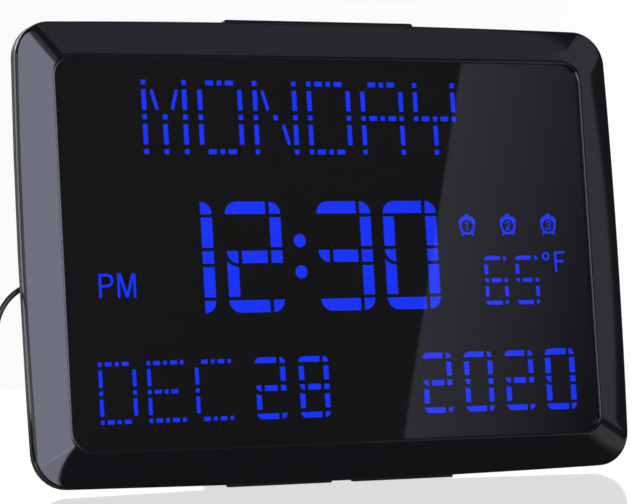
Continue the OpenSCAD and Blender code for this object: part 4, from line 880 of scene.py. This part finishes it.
def floor_material():
    """White polished floor: white to the camera with a part of it mirroring what stands on it.
    Reflections see it white behind the clock, grey at the right, dim in front, and at the left
    front with a painted reflection of a soft box. All else sees it matt."""
    made = bpy.data.materials.new("studio_floor")
    made.use_nodes = True
    tree = made.node_tree
    tree.nodes.clear()
    white = node(tree, "Emission", {"Color": (1, 1, 1, 1), "Strength": 1.02})
    mirror = node(tree, "BsdfGlossy", {"Color": (1, 1, 1, 1), "Roughness": 0.06})
    matt = node(tree, "BsdfDiffuse", {"Color": (0.8, 0.8, 0.8, 1)})
    shown = node(tree, "MixShader", {"Fac": 0.3})
    place = node(tree, "TexCoord")
    parts = node(tree, "SeparateXYZ")
    behind = ramp(tree, *FLOOR_BACK)
    # painted reflection: a glow shaped as a soft box, which only reflections see on the floor
    ahead = ramp(tree, *FLOOR_BOX_FRONT)
    slanted = node(tree, "Math", {1: FLOOR_BOX_SLANT}, operation="MULTIPLY_ADD")
    left = ramp(tree, *FLOOR_BOX_SIDE)
    right = ramp(tree, *FLOOR_RIGHT)
    painted_box_mask = node(tree, "Math", operation="MULTIPLY")
    total = node(tree, "Math", operation="MAXIMUM")
    boxes = node(tree, "Emission", {"Color": (*settings("stage").light_tint, 1)})
    both = node(tree, "AddShader")
    mirrored = node(tree, "Emission", {"Color": (1, 1, 1, 1)})
    either = node(tree, "MixShader")
    ground = node(tree, "MixShader")
    path = node(tree, "LightPath")
    out = tree.nodes.new("ShaderNodeOutputMaterial")
    link = tree.links.new
    link(white.outputs[0], shown.inputs[1])
    link(mirror.outputs[0], shown.inputs[2])
    link(place.outputs["Object"], parts.inputs[0])
    link(parts.outputs["Y"], behind.inputs["Value"])
    link(parts.outputs["Y"], slanted.inputs[0])
    link(parts.outputs["X"], slanted.inputs[2])
    link(parts.outputs["Y"], ahead.inputs["Value"])
    link(parts.outputs["X"], right.inputs["Value"])
    link(slanted.outputs[0], left.inputs["Value"])
    link(ahead.outputs["Result"], painted_box_mask.inputs[0])
    link(left.outputs["Result"], painted_box_mask.inputs[1])
    link(painted_box_mask.outputs[0], boxes.inputs["Strength"])
    link(behind.outputs["Result"], total.inputs[0])
    link(right.outputs["Result"], total.inputs[1])
    link(total.outputs[0], mirrored.inputs["Strength"])
    link(mirrored.outputs[0], both.inputs[0])
    link(boxes.outputs[0], both.inputs[1])
    link(path.outputs["Is Glossy Ray"], either.inputs["Fac"])
    link(matt.outputs[0], either.inputs[1])
    link(both.outputs[0], either.inputs[2])
    link(path.outputs["Is Camera Ray"], ground.inputs["Fac"])
    link(either.outputs[0], ground.inputs[1])
    link(shown.outputs[0], ground.inputs[2])
    link(ground.outputs[0], out.inputs["Surface"])
    return made


def area_light(name, place, target, size, brightness):
    """A rectangular soft box: its power is its brightness times pi times its area."""
    data = bpy.data.lights.new(name, "AREA")
    data.shape = "RECTANGLE"
    data.size, data.size_y = size
    data.energy = brightness * math.pi * size[0] * size[1]
    data.color = settings("stage").light_tint
    lamp = link_object(name, data)
    lamp.location = place
    lamp.rotation_euler = (Vector(place) - Vector(target)).to_track_quat("Z", "Y").to_euler()
    lamp.visible_camera = False


# The card in the lens: where its line of sight, as the lens mirrors it, starts from the lip's
# middle and points to, how far away the card is, and its half height and width
CARD_FROM = np.array([-8.3, 1.4, -1.1]) * MM
CARD_AZIMUTH, CARD_ELEVATION = 26.13, 12.26
CARD_AWAY, CARD_HALF, CARD_WIDTH = 1.8, 0.45, 0.55
CARD_FADE, CARD_DARK = 0.41, 0.03   # share of its width over which it gets darker, and how dark


def mirrored_card(stage):
    """Card whose reflection lies over the right of the lens: brightest along its slanted edge
    and darker to the right."""
    away = direction(CARD_AZIMUTH, CARD_ELEVATION)
    right = direction(CARD_AZIMUTH + 90, 0)
    up = np.cross(right, away) * -1
    middle = LIP_CENTRE + CARD_FROM + away * CARD_AWAY
    lean_by = math.tan(stage.card_slant)
    corners = [(stage.card_edge + lean_by * v + reach, v) for v, reach in
               ((-CARD_HALF, 0), (-CARD_HALF, CARD_WIDTH), (CARD_HALF, CARD_WIDTH), (CARD_HALF, 0))]
    mesh = bpy.data.meshes.new("mirrored_card")
    mesh.from_pydata([tuple(middle + right * u + up * v) for u, v in corners], [], [(0, 1, 2, 3)])
    uv = mesh.uv_layers.new(name="across")
    for loop, across in zip(uv.data, (0, 1, 1, 0)):
        loop.uv = (across, 0)
    made = bpy.data.materials.new("mirrored_card")
    made.use_nodes = True
    tree = made.node_tree
    tree.nodes.clear()
    place = node(tree, "UVMap", uv_map="across")
    fade = node(tree, "MapRange", {"From Min": 0.0, "From Max": CARD_FADE,
                                   "To Min": stage.card_light, "To Max": CARD_DARK})
    glow = node(tree, "Emission", {"Color": (*stage.light_tint, 1)})
    out = tree.nodes.new("ShaderNodeOutputMaterial")
    parts = node(tree, "SeparateXYZ")
    link = tree.links.new
    link(place.outputs["UV"], parts.inputs[0])
    link(parts.outputs["X"], fade.inputs["Value"])
    link(fade.outputs["Result"], glow.inputs["Strength"])
    link(glow.outputs[0], out.inputs["Surface"])
    mesh.materials.append(made)
    card = link_object("mirrored_card", mesh)
    card.visible_camera = False


def add_camera(stage):
    """The photo's camera."""
    data = bpy.data.cameras.new("camera")
    data.sensor_width = 36
    data.lens = stage.lens
    data.clip_end = 50
    camera = link_object("camera", data)
    camera.location = LIP_CENTRE + np.array(stage.camera_place)
    camera.rotation_euler = (math.pi / 2 - stage.tilt, 0, -stage.turn)
    bpy.context.scene.camera = camera


def add_floor(stage):
    """The floor, with its back edge across the view."""
    ahead = np.array([math.sin(stage.turn), math.cos(stage.turn)])
    across = np.array([ahead[1], -ahead[0]])
    corners = [LIP_CENTRE[:2] + ahead * a + across * c for a, c in
               ((FLOOR_BEHIND, FLOOR_HALF), (FLOOR_BEHIND, -FLOOR_HALF),
                (FLOOR_AHEAD, -FLOOR_HALF), (FLOOR_AHEAD, FLOOR_HALF))]
    mesh = bpy.data.meshes.new("floor")
    mesh.from_pydata([(x, y, 0) for x, y in corners], [], [(0, 1, 2, 3)])
    mesh.materials.append(floor_material())
    floor = link_object("floor", mesh)


class DAYCLOCK_OT_stage(bpy.types.Operator):
    """Sets up the camera, the floor and the light."""
    bl_idname = "day_clock.stage"
    bl_label = "Stage"

    def execute(self, context):
        stage = settings("stage")
        context.scene.view_settings.view_transform = "Standard"
        add_camera(stage)
        backdrop_world(stage)
        add_floor(stage)
        for name, (x, z), size, setting in FRONT_BOXES:
            area_light(name, (x, FRONT_PLANE, z), (x, 0, z), size, getattr(stage, setting))
        for name, angles, size, brightness in ROUND_BOXES:
            place = LIP_CENTRE + direction(*angles) * REACH
            area_light(name, place, LIP_CENTRE, size, brightness)
        mirrored_card(stage)
        return {"FINISHED"}


# ---------------------------------------------------------------- add-on

STEPS = (DAYCLOCK_OT_stage, DAYCLOCK_OT_lead, DAYCLOCK_OT_frame, DAYCLOCK_OT_display,
         DAYCLOCK_OT_cover, DAYCLOCK_OT_keys, DAYCLOCK_OT_stand, DAYCLOCK_OT_adapter,
         DAYCLOCK_OT_boards, DAYCLOCK_OT_fasteners)


class DayClockSettings(bpy.types.PropertyGroup):
    """All the settings."""
    shell: PointerProperty(type=ShellSettings, name="Shell", description="Sizes of the shells")
    finish: PointerProperty(type=FinishSettings, name="Finish", description="Colours of the finishes")
    lead: PointerProperty(type=LeadSettings, name="Lead", description="Sizes of the lead")
    stage: PointerProperty(type=StageSettings, name="Stage", description="Camera and light")


class DAYCLOCK_PT_panel(bpy.types.Panel):
    """Lists the building steps and the settings."""
    bl_idname = "DAYCLOCK_PT_panel"
    bl_label = "Day Clock"
    bl_space_type = "VIEW_3D"
    bl_region_type = "UI"
    bl_category = "Day Clock"

    def draw(self, context):
        for step in STEPS:
            self.layout.operator(step.bl_idname)
        for name in SETTINGS:
            group = getattr(context.scene.day_clock, name)
            box = self.layout.box()
            for key in group.bl_rna.properties.keys():
                if key not in ("rna_type", "name"):
                    box.prop(group, key)


CLASSES = (*SETTINGS.values(), DayClockSettings, *STEPS, DAYCLOCK_PT_panel)


def register():
    for made in CLASSES:
        bpy.utils.register_class(made)
    bpy.types.Scene.day_clock = PointerProperty(type=DayClockSettings)


def unregister():
    del bpy.types.Scene.day_clock
    for made in reversed(CLASSES):
        bpy.utils.unregister_class(made)


def main():
    """Runs every step in order."""
    register()
    for step in STEPS:
        group, name = step.bl_idname.split(".")
        getattr(getattr(bpy.ops, group), name)()


if __name__ == "__main__":
    main()
